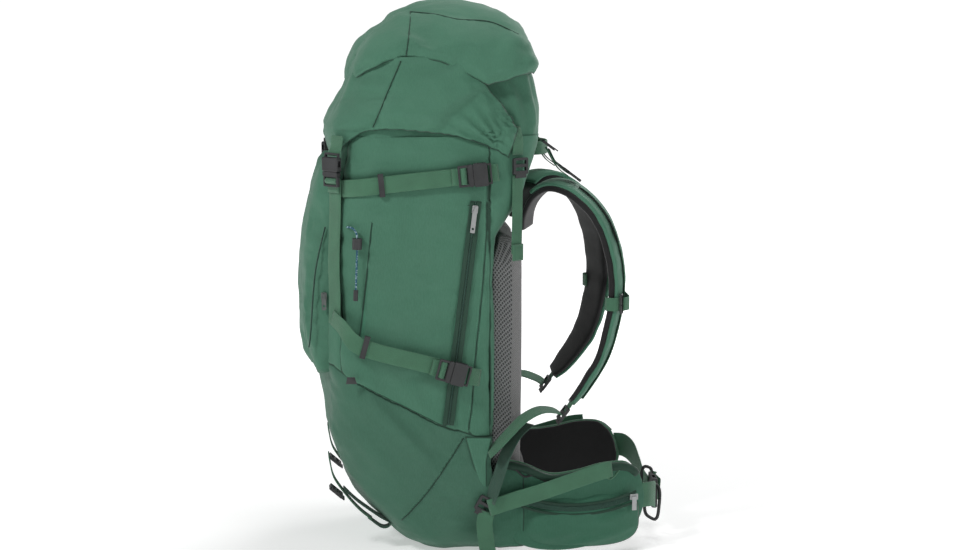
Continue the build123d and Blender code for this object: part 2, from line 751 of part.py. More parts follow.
def main():
    bag_outer = body(BAG)
    nodes = split_bag()
    nodes["front_pocket"] = front_pocket(bag_outer)
    nodes["side_pocket_right"] = side_pocket(bag_outer)
    nodes["side_pocket_left"] = mirrored(nodes["side_pocket_right"])
    nodes["side_zip_tapes"] = side_zip_tape() + mirrored(side_zip_tape())
    nodes["side_zip_slider_right"] = side_zip_slider()
    nodes["side_zip_slider_left"] = mirrored(side_zip_slider())
    nodes["front_zip_slider"] = front_zip_slider()
    nodes["frame_sheet"] = frame_sheet()
    nodes["frame_stays"] = frame_stays()
    nodes["back_pad"] = back_pad()
    nodes["lumbar_pad"] = lumbar_pad()
    nodes["haul_loop"] = haul_loop()
    nodes["compression_webbing"] = compression_webbing()
    nodes["compression_females"] = compression_females()
    nodes["upper_male_right"] = upper_male()
    nodes["upper_male_left"] = mirrored(upper_male())
    nodes["lower_male_right"] = lower_male()
    nodes["lower_male_left"] = mirrored(lower_male())
    nodes["strap_keepers"] = strap_keepers()
    nodes["lid_buckle_females"] = lid_females()
    nodes["lid_female_tabs"] = lid_female_tabs()
    nodes["lid_male_right"] = lid_male()
    nodes["lid_male_left"] = mirrored(lid_male())
    nodes["lid_strap_webbing"] = lid_strap_webbing()
    nodes["lid_skirt"] = lower_tier()
    nodes["lid_pocket"] = upper_tier()
    nodes["lid_rear_webbing"] = lid_rear_webbing()
    nodes["rear_strap_tails"] = rear_strap_tails()
    nodes["gear_loops"] = gear_loops()
    nodes["pack_ladder_locks"] = pack_ladder_locks()
    nodes["hip_wing_right"] = hip_wing()
    nodes["hip_wing_left"] = mirrored(hip_wing())
    nodes["hip_pocket_right"] = hip_pocket()
    nodes["hip_pocket_left"] = mirrored(hip_pocket())
    nodes["hip_zip_slider_right"] = hip_slider()
    nodes["hip_zip_slider_left"] = mirrored(hip_slider())
    nodes["belt_buckle_female"] = belt_female()
    nodes["belt_buckle_male"] = belt_male()
    nodes["hip_webbing_right"] = hip_webbing(1)
    nodes["hip_webbing_left"] = hip_webbing(-1)
    nodes["stabiliser_straps"] = stabiliser_straps()
    nodes["side_fins"] = side_fin()
    nodes["shoulder_strap_right"] = shoulder_strap()
    nodes["shoulder_strap_left"] = mirrored(shoulder_strap())
    nodes["shoulder_webbing"] = shoulder_webbing()
    nodes["shoulder_ladder_locks"] = shoulder_locks()
    nodes["load_lifters"] = load_lifters()
    nodes["lower_straps"] = lower_straps()
    nodes["sternum_webbing"] = sternum_webbing()
    nodes["sternum_buckle_female"] = sternum_female()
    nodes["sternum_buckle_male"] = sternum_male()
    nodes["accessory_cord"] = accessory_cord()
    nodes["cord_lock"] = cord_lock()
    nodes["cord_end"] = cord_end()
    for name, shape in nodes.items():
        save(name, shape)
    print("nodes", len(nodes))


main()
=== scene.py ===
import math

import bmesh
import bpy
import numpy as np
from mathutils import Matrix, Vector


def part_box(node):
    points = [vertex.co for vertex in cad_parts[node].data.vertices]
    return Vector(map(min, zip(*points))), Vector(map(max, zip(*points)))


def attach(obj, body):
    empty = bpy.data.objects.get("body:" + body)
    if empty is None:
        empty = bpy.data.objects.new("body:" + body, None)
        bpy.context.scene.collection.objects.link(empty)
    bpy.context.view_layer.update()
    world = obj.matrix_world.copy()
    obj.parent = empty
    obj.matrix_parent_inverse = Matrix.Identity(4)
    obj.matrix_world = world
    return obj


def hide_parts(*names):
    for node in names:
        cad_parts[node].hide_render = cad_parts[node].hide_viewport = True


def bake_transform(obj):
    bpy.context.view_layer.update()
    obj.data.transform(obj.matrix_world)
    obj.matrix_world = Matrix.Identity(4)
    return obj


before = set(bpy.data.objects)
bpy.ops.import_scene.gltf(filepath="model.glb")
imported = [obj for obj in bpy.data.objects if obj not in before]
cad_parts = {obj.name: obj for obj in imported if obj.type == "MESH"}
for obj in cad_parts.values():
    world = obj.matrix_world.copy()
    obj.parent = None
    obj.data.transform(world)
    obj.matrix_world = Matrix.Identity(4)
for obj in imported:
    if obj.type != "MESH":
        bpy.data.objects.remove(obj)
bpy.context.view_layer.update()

# Lengths are worked out in millimetres, as in part.py, and turned into metres when a mesh is made.
MM = 0.001
SIDES = ((1, "right"), (-1, "left"))
UP = (0, 0, 1)
ACROSS = (1, 0, 0)
FAR = 1e3

# Sections of the bag and of the lid's two tiers, as in the CAD:
# height, front, back, half width, front radius, back radius
BAG = np.array([
    (0, -60, 50, 108, 50, 12), (18, -90, 50, 134, 60, 12), (50, -121, 50, 150, 66, 12),
    (100, -158, 50, 162, 70, 12), (190, -194, 50, 168.5, 70, 12), (300, -202, 50, 169, 70, 12),
    (400, -201, 50, 169, 70, 12), (450, -200, 50, 169, 70, 12), (478, -198, 54, 169, 70, 16),
    (505, -197, 72, 169, 70, 28), (535, -194, 92, 168, 70, 40), (590, -185, 112, 162, 70, 55),
    (626, -177, 121, 155, 68, 58), (660, -165, 122, 147, 64, 58), (690, -150, 117, 137, 60, 58),
    (722, -132, 111, 127, 56, 54),
], float)
LOWER_TIER = np.array([
    (590, -194, 150, 171, 75, 40), (640, -189, 150, 169, 75, 40), (690, -162, 150, 153, 68, 40),
    (735, -144, 150, 143, 64, 40),
], float)
UPPER_TIER = np.array([
    (680, -171, 123, 160, 75, 50), (712, -161, 121, 157, 72, 50), (753, -140, 110, 148, 66, 48),
    (788, -99, 84, 118, 55, 42), (809, -61, 42, 72, 38, 30), (817, -30, 8, 22, 16, 12),
], float)
BOW = 0.04      # how far a section's front face bows out, as a share of its half width
RIM = 626.0
COLLAR_TOP = 722.0
FRONT_SEAM = -172.0
BACK_SEAM = 46.0


# ---------------------------------------------------------------- numbers


def smooth_noise(points, size, seed=0):
    """Repeatable value noise from -1 to 1 at points in millimetres. size is the noise's grain each way."""
    p = np.asarray(points, float) / np.asarray(size, float)
    base = np.floor(p).astype(np.int64)
    t = p - base
    t = t * t * t * (t * (t * 6 - 15) + 10)
    total = np.zeros(p.shape[:-1])
    for corner in range(8):
        step = np.array([corner & 1, corner >> 1 & 1, corner >> 2 & 1])
        cell = base + step
        mix = cell[..., 0] * 374761393 + cell[..., 1] * 668265263 + cell[..., 2] * 2147483647 + seed * 974711
        mix = (mix ^ (mix >> 13)) * 1274126177
        mix = (mix ^ (mix >> 16)) & 0xFFFF
        weight = np.prod(np.where(step, t, 1 - t), axis=-1)
        total += weight * (mix / 32767.5 - 1)
    return total


def slanted_noise(x, y, z, size, seed):
    """Noise over slanted axes, which makes folds that run askew."""
    return smooth_noise(np.stack([x, y, z], axis=-1), size, seed)


def bell(x, width):
    """A bump of height 1 at x = 0 that fades over a width."""
    return np.exp(-(x / width) ** 2)


def rise(x):
    """x held between 0 and 1."""
    return np.clip(x, 0, 1)


def squared(value, power):
    """A sine or cosine bent towards a square wave as the power goes down to 0."""
    return np.sign(value) * np.abs(value) ** power


def full_turn(count):
    return np.linspace(0, 2 * math.pi, count, endpoint=False)


def unit(vectors):
    """Vectors, one to a row, brought to length 1."""
    return vectors / np.linalg.norm(vectors, axis=1, keepdims=True)


def hermite(u, a, b, slope_a, slope_b):
    """A cubic from a to b with the given slopes at its ends."""
    return (
        (2 * u**3 - 3 * u**2 + 1) * a + (u**3 - 2 * u**2 + u) * slope_a
        + (-2 * u**3 + 3 * u**2) * b + (u**3 - u**2) * slope_b
    )


def curve_at(stations, t):
    """Smooth values of every column of stations at parameters t, where station i is at t = i."""
    t = np.clip(np.asarray(t, float), 0, len(stations) - 1)
    i = np.minimum(t.astype(int), len(stations) - 2)
    before = stations[np.maximum(i - 1, 0)]
    a, b = stations[i], stations[i + 1]
    after = stations[np.minimum(i + 2, len(stations) - 1)]
    return hermite((t - i)[..., None], a, b, (b - before) / 2, (after - a) / 2)


def pchip(x, y, at):
    """Shape-keeping cubic through (x, y) at the points at, so that flats stay flat."""
    h = np.diff(x)
    slope = np.diff(y) / h
    m = np.zeros(len(x))
    for i in range(1, len(x) - 1):
        if slope[i - 1] * slope[i] > 0:
            w1 = 2 * h[i] + h[i - 1]
            w2 = h[i] + 2 * h[i - 1]
            m[i] = (w1 + w2) / (w1 / slope[i - 1] + w2 / slope[i])
    m[0] = slope[0]
    m[-1] = slope[-1]
    i = np.clip(np.searchsorted(x, at) - 1, 0, len(x) - 2)
    return hermite((at - x[i]) / h[i], y[i], y[i + 1], h[i] * m[i], h[i] * m[i + 1])


def sections(table, heights):
    """A table's section values at every height."""
    return zip(*(pchip(table[:, 0], table[:, k], heights) for k in range(1, 6)))


def half_outline(front, back, half, front_radius, back_radius):
    """The right half of a section from the middle of the back to the middle of the front, as (x, y)."""
    rear = back - back_radius
    corner = front + BOW * half + front_radius
    flat = half - front_radius
    turn = np.linspace(0, math.pi / 2, 24)[1:]
    s = np.linspace(1, 0, 41)[1:]
    x = [np.linspace(0, half - back_radius, 30), half - back_radius + back_radius * np.sin(turn),
         np.full(60, half), flat + front_radius * np.cos(turn), flat * s]
    y = [np.full(30, back), rear + back_radius * np.cos(turn), np.linspace(rear, corner, 61)[1:],
         corner - front_radius * np.sin(turn), front + BOW * half * s * s]
    return np.column_stack([np.concatenate(x), np.concatenate(y)])


def measure(points):
    """Running length along a line of points."""
    return np.concatenate([[0], np.cumsum(np.linalg.norm(np.diff(points, axis=0), axis=1))])


def resample(points, where, run=None):
    """Rows of a line at given running lengths. run is each row's own length, if it isn't the line's."""
    run = measure(points) if run is None else run
    return np.column_stack([np.interp(where, run, points[:, k]) for k in range(points.shape[1])])


def closed_ring(right):
    """A whole section from its right half."""
    return np.concatenate([right, right[-2:0:-1] * [-1, 1]])


def line_height(points, y):
    """The height of a seam drawn as (y, z) points, at y."""
    data = np.array(points, float)
    return np.interp(y, data[:, 0], data[:, 1])


def distance_to_line(y, z, line):
    """Distance in side view from (y, z) to a line of (y, z) points."""
    best = np.full(np.shape(y), 1e9)
    for (y0, z0), (y1, z1) in zip(line, line[1:]):
        dy, dz = y1 - y0, z1 - z0
        t = rise(((y - y0) * dy + (z - z0) * dz) / (dy * dy + dz * dz))
        best = np.minimum(best, np.hypot(y - y0 - t * dy, z - z0 - t * dz))
    return best


def smooth_line(points, step=4.0):
    """A smooth line through control points, as a Catmull-Rom curve resampled evenly."""
    data = np.array(points, float)
    dense = curve_at(data, np.linspace(0, len(data) - 1, 40 * len(data)))
    run = measure(dense)
    count = max(int(run[-1] / step), 3)
    return resample(dense, np.linspace(0, run[-1], count + 1), run)


def frames_along(line, across):
    """Side and outward directions at each point of a line. across is the width direction, or one for each."""
    tangent = unit(np.gradient(line, axis=0))
    side = np.broadcast_to(np.asarray(across, float), line.shape).copy()
    side = unit(side - tangent * np.sum(side * tangent, axis=1, keepdims=True))
    return side, np.cross(side, tangent)


def flip(points, sign):
    """Points of the right side as they are, or mirrored to the left."""
    return [(p[0] * sign, p[1], p[2]) for p in points]


# ---------------------------------------------------------------- materials


class Nodes:
    """A small helper that adds, sets and links shader nodes."""

    def __init__(self, name):
        self.material = bpy.data.materials.new(name)
        self.material.use_nodes = True
        self.tree = self.material.node_tree
        self.shader = self.tree.nodes["Principled BSDF"]

    def feed(self, socket, value):
        """Links a socket to another node's output, or sets it to a number, a vector or a colour."""
        if hasattr(value, "is_output"):
            self.tree.links.new(value, socket)
        elif socket.type == "RGBA":
            socket.default_value = (*value, 1)
        else:
            socket.default_value = value

    def node(self, kind, inputs, output=0, **settings):
        node = self.tree.nodes.new("ShaderNode" + kind)
        for key, value in settings.items():
            setattr(node, key, value)
        for key, value in inputs.items():
            self.feed(node.inputs[key], value)
        return node.outputs[output]

    def math(self, operation, a, b=0.0, c=0.0):
        return self.node("Math", {0: a, 1: b, 2: c}, operation=operation)

    def ramp(self, value, low, high):
        ends = {"From Min": low[0], "From Max": low[1], "To Min": high[0], "To Max": high[1]}
        return self.node("MapRange", {"Value": value, **ends})

    def mix(self, share, a, b):
        return self.node("Mix", {0: share, 6: a, 7: b}, 2, data_type="RGBA")

    def coordinates(self, kind="Object"):
        return self.node("TexCoord", {}, kind)

    def noise(self, scale, detail=2.0, vector=None, roughness=0.5):
        place = vector or self.coordinates()
        inputs = {"Vector": place, "Scale": scale, "Detail": detail, "Roughness": roughness}
        return self.node("TexNoise", inputs, "Fac")

    def scaled(self, vector, scale):
        return self.node("Mapping", {"Vector": vector, "Scale": scale})

    def wave(self, vector, scale, direction):
        return self.node("TexWave", {"Vector": vector, "Scale": scale}, "Fac", bands_direction=direction)

    def bump(self, height, strength, distance, before=None):
        inputs = {"Height": height, "Strength": strength, "Distance": distance}
        if before is not None:
            inputs["Normal"] = before
        return self.node("Bump", inputs)

    def finish(self, colour, rough, normal=None, **fixed):
        """Fills the shader's sockets and returns the material."""
        fixed = {name.replace("_", " "): value for name, value in fixed.items()}
        for name, value in {"Base Color": colour, "Roughness": rough, "Normal": normal, **fixed}.items():
            if value is not None:
                self.feed(self.shader.inputs[name], value)
        return self.material


def tint(colour, factor):
    return [c * factor for c in colour]


def cloth_material(name, colour, thread, rough=0.72, grain=1.0, stitching_and_seam_shade=True):
    """Plain-woven nylon: a fine weave, thread-to-thread colour, soft creases, topstitching and a painted
    shade line along each seam.
    """
    n = Nodes(name)
    place = n.coordinates()
    thready = n.noise(900.0, 1.0, n.scaled(place, (1.0, 1.0, 0.16)))
    shade = n.mix(n.ramp(n.noise(9.0, 3.0), (0.3, 0.7), (0.0, 1.0)), tint(colour, 0.93), tint(colour, 1.07))
    shade = n.mix(n.ramp(thready, (0.35, 0.65), (0.0, 0.28)), shade, thread)
    warp = n.wave(n.scaled(place, (1.0, 1.0, 0.0)), 260.0, "DIAGONAL")
    weft = n.wave(place, 330.0, "Z")
    normal = n.bump(n.math("MULTIPLY", warp, weft), 0.22 * grain, 0.0004)
    normal = n.bump(n.noise(55.0, 4.0, None, 0.55), 0.25, 0.004, normal)
    slack = n.noise(15.0, 2.0, n.scaled(place, (1.0, 0.6, 1.25)), 0.4)
    normal = n.bump(slack, 0.6 * grain, 0.014, normal)
    if stitching_and_seam_shade:
        # seam_d is the distance from the nearest seam and seam_s the length along it, in millimetres
        edge = n.node("Attribute", {}, "Fac", attribute_name="seam_d")
        along = n.node("Attribute", {}, "Fac", attribute_name="seam_s")
        near = n.math("COMPARE", edge, 3.4, 0.4)
        dash = n.math("LESS_THAN", n.math("FRACT", n.math("DIVIDE", along, 2.6)), 0.62)
        line = n.math("MULTIPLY", near, dash)
        shade = n.mix(n.math("MULTIPLY", line, 0.45), shade, tint(thread, 1.25))
        # Painted shade: within about 2 mm of a seam the cloth darkens to near black, standing in for the
        # shade in the seam's tuck.
        shade = n.mix(n.ramp(edge, (0.5, 1.8), (0.85, 0.0)), shade, tint(colour, 0.22))
        normal = n.bump(line, 0.5, 0.0006, normal)
    worn = n.ramp(n.noise(26.0, 3.0), (0.3, 0.7), (rough - 0.06, rough + 0.08))
    return n.finish(shade, worn, normal, Sheen_Weight=0.12, Sheen_Roughness=0.45, Specular_IOR_Level=0.32)


def webbing_material(name, colour, rib=620.0):
    """Flat woven webbing. Its weave follows the band's own length and width."""
    n = Nodes(name)
    uv = n.coordinates("UV")
    across = n.math("MULTIPLY", n.wave(uv, rib, "Y"), 0.6)
    along = n.math("MULTIPLY", n.wave(uv, rib * 0.8, "X"), 0.4)
    check = n.math("ADD", across, along)
    shade = n.mix(n.ramp(check, (0.1, 0.9), (0.0, 1.0)), tint(colour, 0.55), colour)
    shade = n.mix(n.ramp(n.noise(40.0, 3.0), (0.35, 0.7), (0.0, 0.22)), shade, tint(colour, 1.3))
    return n.finish(shade, 0.68, n.bump(check, 0.55, 0.0005), Sheen_Weight=0.2, Specular_IOR_Level=0.35)


def plastic_material(name, colour, rough=0.42):
    """Moulded acetal: slightly mottled, with a fine pebble and scuffed patches."""
    n = Nodes(name)
    broad = n.noise(45.0, 3.0)
    shade = n.mix(n.ramp(broad, (0.35, 0.75), (0.0, 1.0)), colour, [c * 1.7 + 0.004 for c in colour])
    worn = n.ramp(broad, (0.3, 0.7), (rough - 0.07, rough + 0.12))
    return n.finish(shade, worn, n.bump(n.noise(700.0), 0.12, 0.0004), Specular_IOR_Level=0.5)


def metal_material(name, colour, rough):
    """Brushed metal."""
    n = Nodes(name)
    brushed = n.noise(500.0, 3.0, n.scaled(n.coordinates(), (1.0, 1.0, 0.15)))
    worn = n.ramp(brushed, (0.3, 0.7), (rough - 0.06, rough + 0.14))
    shade = n.mix(brushed, tint(colour, 0.85), colour)
    return n.finish(shade, worn, n.bump(brushed, 0.08, 0.0003), Metallic=1.0)


def mesh_material(name, colour, dark, cell=5.2):
    """Spacer mesh: rows of diamond holes, one to a cell in millimetres, over a dark ground."""
    n = Nodes(name)
    scale = 1000.0 / cell
    place = n.scaled(n.coordinates("UV"), (scale, scale * 0.72, 1.0))
    x = n.node("SeparateXYZ", {0: place}, 0)
    y = n.node("SeparateXYZ", {0: place}, 1)
    slopes = [n.math("FRACT", n.math(way, x, y)) for way in ("ADD", "SUBTRACT")]
    centred = [n.math("ABSOLUTE", n.math("SUBTRACT", slope, 0.5)) for slope in slopes]
    reach = n.math("MAXIMUM", *centred)
    hole = n.math("MULTIPLY", n.math("LESS_THAN", reach, 0.3), 0.85)
    height = n.math("SUBTRACT", 1.0, n.ramp(reach, (0.5, 0.22), (0.0, 1.0)))
    base = n.mix(n.ramp(n.noise(900.0), (0.3, 0.7), (0.0, 1.0)), tint(colour, 0.8), tint(colour, 1.15))
    return n.finish(n.mix(hole, base, dark), 0.8, n.bump(height, 0.6, 0.0012), Sheen_Weight=0.25,
                    Specular_IOR_Level=0.3)


def padding_material(name, colour):
    """Brushed knit over foam."""
    n = Nodes(name)
    fuzz = n.noise(650.0, 3.0)
    normal = n.bump(n.noise(22.0, 3.0), 0.25, 0.003, n.bump(fuzz, 0.4, 0.0006))
    shade = n.mix(fuzz, tint(colour, 0.7), tint(colour, 1.3))
    return n.finish(shade, 0.85, normal, Sheen_Weight=0.3, Specular_IOR_Level=0.25)


def cord_material(name):
    """Braided elastic cord: dark blue with pale flecks."""
    n = Nodes(name)
    fleck = n.ramp(n.noise(420.0, 1.0), (0.52, 0.6), (0.0, 1.0))
    braid = n.wave(n.coordinates(), 900.0, "DIAGONAL")
    return n.finish(n.mix(fleck, (0.02, 0.10, 0.16), (0.35, 0.5, 0.55)), 0.7, n.bump(braid, 0.5, 0.0005))


SHELL = cloth_material("shell_cloth", (0.057, 0.168, 0.107), (0.08, 0.212, 0.142))
BOOT = cloth_material("boot_cloth", (0.052, 0.144, 0.094), (0.073, 0.184, 0.127), rough=0.78, grain=1.6)
POCKET = cloth_material("pocket_cloth", (0.046, 0.175, 0.105), (0.064, 0.212, 0.135), rough=0.62)
HIP = cloth_material("hip_cloth", (0.032, 0.128, 0.076), (0.048, 0.162, 0.103), rough=0.62)
# Painted shade: a near-black green for the thin cords laid along the seams, standing in for the shade in each
# seam's groove.
SEAM_SHADE = cloth_material("seam_shade_cord", (0.016, 0.05, 0.033), (0.03, 0.08, 0.05), stitching_and_seam_shade=False)
WEBBING = webbing_material("webbing", (0.07, 0.208, 0.118))
# Painted shade: the webbing's green darkened to about half, for the return and under layers that lie behind
# other webbing.
SHADED_WEBBING = webbing_material("shaded_webbing", (0.04, 0.11, 0.075))
GREY_ELASTIC = webbing_material("grey_elastic", (0.07, 0.075, 0.075), 800.0)
TAPE = webbing_material("zip_tape", (0.02, 0.075, 0.05), 900.0)
PLASTIC = plastic_material("buckle_plastic", (0.016, 0.017, 0.018))
SHEET_PLASTIC = plastic_material("sheet_plastic", (0.5, 0.5, 0.48), 0.5)
METAL = metal_material("zip_metal", (0.40, 0.41, 0.41), 0.42)
DULL_METAL = metal_material("dull_metal", (0.16, 0.18, 0.17), 0.5)
ALUMINIUM = metal_material("stay_aluminium", (0.7, 0.7, 0.72), 0.35)
MESH = mesh_material("spacer_mesh", (0.25, 0.256, 0.256), (0.02, 0.022, 0.022))
SMOOTH_MESH = mesh_material("smooth_mesh", (0.29, 0.29, 0.29), (0.12, 0.12, 0.12), 2.6)
PADDING = padding_material("dark_padding", (0.012, 0.012, 0.0125))
CORD = cord_material("cord_braid")


# ---------------------------------------------------------------- meshes

PIECES = {}


def link(name, data):
    thing = bpy.data.objects.new(name, data)
    bpy.context.scene.collection.objects.link(thing)
    return thing


def make_mesh(name, points, faces, material, uv=None, attributes=None):
    """A smooth object from points in millimetres."""
    mesh = bpy.data.meshes.new(name)
    corners = [tuple(p) for p in np.asarray(points).reshape(-1, 3) * MM]
    mesh.from_pydata(corners, [], [tuple(int(i) for i in face) for face in faces])
    mesh.materials.append(material)
    mesh.polygons.foreach_set("use_smooth", [True] * len(mesh.polygons))
    if uv is not None:
        layer = mesh.uv_layers.new(name="UVMap")
        index = np.zeros(len(mesh.loops), int)
        mesh.loops.foreach_get("vertex_index", index)
        layer.data.foreach_set("uv", (np.asarray(uv, float).reshape(-1, 2)[index] * MM).ravel())
    for key, values in (attributes or {}).items():
        data = mesh.attributes.new(key, "FLOAT", "POINT")
        data.data.foreach_set("value", np.asarray(values, np.float32).ravel())
    return link(name, mesh)


def grid_faces(rows, cols, closed):
    """Quads over a grid of points kept row by row."""
    faces = []
    for r in range(rows - 1):
        for c in range(cols if closed else cols - 1):
            a = r * cols + c
            b = r * cols + (c + 1) % cols
            faces.append((a, a + cols, b + cols, b))
    return faces


def grid_lengths(grid):
    """Running lengths along the rows and along the columns of a grid."""
    across = np.linalg.norm(np.diff(grid, axis=1), axis=2)
    up = np.linalg.norm(np.diff(grid, axis=0), axis=2)
    across = np.concatenate([np.zeros((grid.shape[0], 1)), np.cumsum(across, 1)], 1)
    up = np.concatenate([np.zeros((1, grid.shape[1])), np.cumsum(up, 0)], 0)
    return across, up


def grid_normals(grid, closed):
    """Unit normals of a grid of points. The direction is right when rows go up and columns go left."""
    du = np.roll(grid, -1, 1) - np.roll(grid, 1, 1) if closed else np.gradient(grid, axis=1)
    n = np.cross(np.gradient(grid, axis=0), du)
    return n / np.maximum(np.linalg.norm(n, axis=2, keepdims=True), 1e-9)


def mirror_grid(grid, sign):
    """The grid itself, or its mirror image with the columns turned round so that it still faces out."""
    return grid if sign > 0 else grid[:, ::-1] * [-1, 1, 1]


def ring_mesh(name, rings, material, uv=None, attributes=None):
    """A closed piece from rings of points, capped at both ends, with its faces turned outwards."""
    count = rings.shape[1]
    last = (len(rings) - 1) * count
    faces = grid_faces(len(rings), count, True)
    faces.append(tuple(range(count)))
    faces.append(tuple(reversed(range(last, last + count))))
    thing = make_mesh(name, rings, faces, material, np.dstack(grid_lengths(rings)) if uv is None else uv,
                      attributes)
    work = bmesh.new()
    work.from_mesh(thing.data)
    bmesh.ops.recalc_face_normals(work, faces=work.faces)
    work.to_mesh(thing.data)
    work.free()
    return thing


def put(thing, body, slot, *nodes):
    """Rides a piece on its body and hides the CAD nodes that it stands for. slot is not used."""
    PIECES[thing.name.split(".")[0]] = thing
    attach(thing, body)
    if nodes:
        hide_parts(*nodes)
    return thing


def both_sides(make, name, body, slot, *nodes):
    """Makes a piece on the right and its mirror image on the left. make(name, sign) builds one."""
    for sign, word in SIDES:
        put(make(f"{name}_{word}", sign), body, slot, *[node.format(word) for node in nodes])


def thicken(thing, amount):
    """Gives a cloth surface its thickness, on the inside."""
    solid = thing.modifiers.new("thickness", "SOLIDIFY")
    solid.thickness = amount * MM
    solid.offset = -1.0
    return thing


def crisp(thing):
    """Keeps a cut edge from shading the panel beside it, where two panels meet without a seam."""
    split = thing.modifiers.new("crisp", "EDGE_SPLIT")
    split.split_angle = math.radians(55)
    return thing


def sewn_edges(grid, sides):
    """Each point's distance from the sewn edges of a grid, and its place along the nearest one.

    sides says which edges are sewn: low row, high row, first column, last column."""
    across, up = grid_lengths(grid)
    far, run = np.full(grid.shape[:2], FAR), up
    gaps = (up, up[-1:] - up, across, across[:, -1:] - across)
    for sewn, gap, along in zip(sides, gaps, (across, across, up, up)):
        if sewn:
            run = np.where(gap < far, along, run)
            far = np.minimum(far, gap)
    return far, run


def cloth_panel(name, grid, material, seams=(), relief=None, puff=2.0, crease=1.0, sides=(1, 1, 1, 1), seed=1,
                closed=False, pressure=0.0):
    """A cloth panel over a grid: sewn in at its edges, puffed between them and lightly creased.

    seams are more sewn lines, drawn as (y, z) points. relief(grid) adds its own height in millimetres.
    With a pressure the panel is settled by the cloth simulation, held at its seams."""
    far, run = sewn_edges(grid, sides)
    for line in seams:
        gap = distance_to_line(grid[..., 1], grid[..., 2], line)
        upright = abs(line[-1][1] - line[0][1]) > abs(line[-1][0] - line[0][0])
        run = np.where(gap < far, grid[..., 2 if upright else 1], run)
        far = np.minimum(far, gap)
    folds = smooth_noise(grid, (36, 24, 13), seed + 5)
    broad = 1.7 * smooth_noise(grid, (70, 60, 46), seed)
    fine = 0.3 * smooth_noise(grid, (15, 15, 9), seed + 9)
    gather = slanted_noise(run, far * 0.25, np.zeros(run.shape), (9, 16, 9), seed + 13)
    lift = puff * (1 - np.exp(-far / 16.0)) - 1.3 * bell(far, 2.6)
    lift = lift + crease * (broad + 1.3 * squared(folds, 1.3) + fine)
    lift = lift + 1.1 * crease * gather * np.exp(-far / 13.0) * rise(far / 3.0)
    if relief is not None:
        lift = lift + relief(grid)
    shaped = grid + grid_normals(grid, closed) * lift[..., None]
    faces = grid_faces(*grid.shape[:2], closed)
    uv = np.dstack(grid_lengths(grid))
    thing = make_mesh(name, shaped, faces, material, uv, {"seam_d": far, "seam_s": run})
    if pressure:
        settle(thing, far.ravel(), pressure)
    return thing


SETTLE_FRAMES = 18
SETTLE_MOST = 3.5
CLOTH = {
    "quality": 5, "mass": 0.12, "tension_stiffness": 14, "compression_stiffness": 6, "shear_stiffness": 4,
    "bending_stiffness": 0.25, "vertex_group_mass": "pin", "pin_stiffness": 1.0, "shrink_min": -0.035,
    "use_pressure": True,
}


def vertices(mesh):
    """A mesh's points in metres."""
    points = np.zeros(len(mesh.vertices) * 3, np.float32)
    mesh.vertices.foreach_get("co", points)
    return points.reshape(-1, 3)


def settle(thing, far, pressure):
    """Lets a sewn panel sag and wrinkle under a light inner pressure, held at its seams."""
    mesh = thing.data
    group = thing.vertex_groups.new(name="pin")
    for index, gap in enumerate(far):
        group.add([index], float(rise(1.0 - (gap - 2.0) / 8.0)), "REPLACE")
    before = vertices(mesh)
    cloth = thing.modifiers.new("cloth", "CLOTH")
    for key, value in CLOTH.items():
        setattr(cloth.settings, key, value)
    cloth.settings.uniform_pressure_force = pressure
    cloth.settings.effector_weights.gravity = 0.0
    cloth.collision_settings.use_collision = False
    cloth.point_cache.frame_start = 1
    cloth.point_cache.frame_end = SETTLE_FRAMES
    for number in range(1, SETTLE_FRAMES + 1):
        bpy.context.scene.frame_set(number)
    ready = thing.evaluated_get(bpy.context.evaluated_depsgraph_get())
    move = (vertices(ready.data) - before) / MM
    thing.modifiers.remove(cloth)
    size = np.linalg.norm(move, axis=1, keepdims=True)
    limit = SETTLE_MOST * rise(far[:, None] / 25.0)
    move = move * np.minimum(1.0, limit / np.maximum(size, 1e-6))
    mesh.vertices.foreach_set("co", (before + move * MM).ravel().astype(np.float32))
    mesh.update()
    bpy.context.scene.frame_set(1)


def loft(name, line, sides, outs, section, material):
    """A tube along a line. section is (across, out) points, or a list of them for each point of the line."""
    shape = np.asarray(section)
    rings = line[:, None] + shape[..., :1] * sides[:, None] + shape[..., 1:] * outs[:, None]
    return ring_mesh(name, rings, material)


def band_section(width, thick):
    """A flat band's section with rounded edges."""
    half = width / 2
    r = thick / 2
    right = [(half - r + r * math.sin(a), r * math.cos(a)) for a in np.linspace(0, math.pi, 6)]
    flat = np.linspace(half - r, -half + r, 5)[1:-1]
    under = [(x, -r) for x in flat]
    left = [(-x, -y) for x, y in right]
    over = [(-x, r) for x in flat]
    return np.array(right + under + left + over)


def webbing(name, points, across, width=25.0, thick=1.5, material=WEBBING, wobble=0.0):
    """A flat band of webbing through points in millimetres."""
    line = smooth_line(points)
    side, out = frames_along(line, across)
    line = line + out * (wobble * np.sin(measure(line) / 23.0))[:, None]
    return loft(name, line, side, out, band_section(width, thick), material)


def tube(name, points, radius, material, step=4.0, count=10):
    """A round cord or piping through points."""
    line = smooth_line(points, step)
    start = (1.0, 0.2, 0.1) if abs(line[-1][0] - line[0][0]) < 60 else (0.1, 0.2, 1.0)
    turn = full_turn(count)
    section = np.column_stack([radius * np.cos(turn), radius * np.sin(turn)])
    return loft(name, line, *frames_along(line, start), section, material)


def strap_pair(label, points, across, width, thick, body, *nodes, material=WEBBING, wobble=0.0,
               slot="webbing"):
    """A strap on the right and its mirror image on the left."""
    for sign, word in SIDES:
        side = (across[0] * sign, across[1], across[2])
        band = webbing(f"{label}_{word}", flip(points, sign), side, width, thick, material, wobble)
        put(band, body.format(word), slot, *nodes)


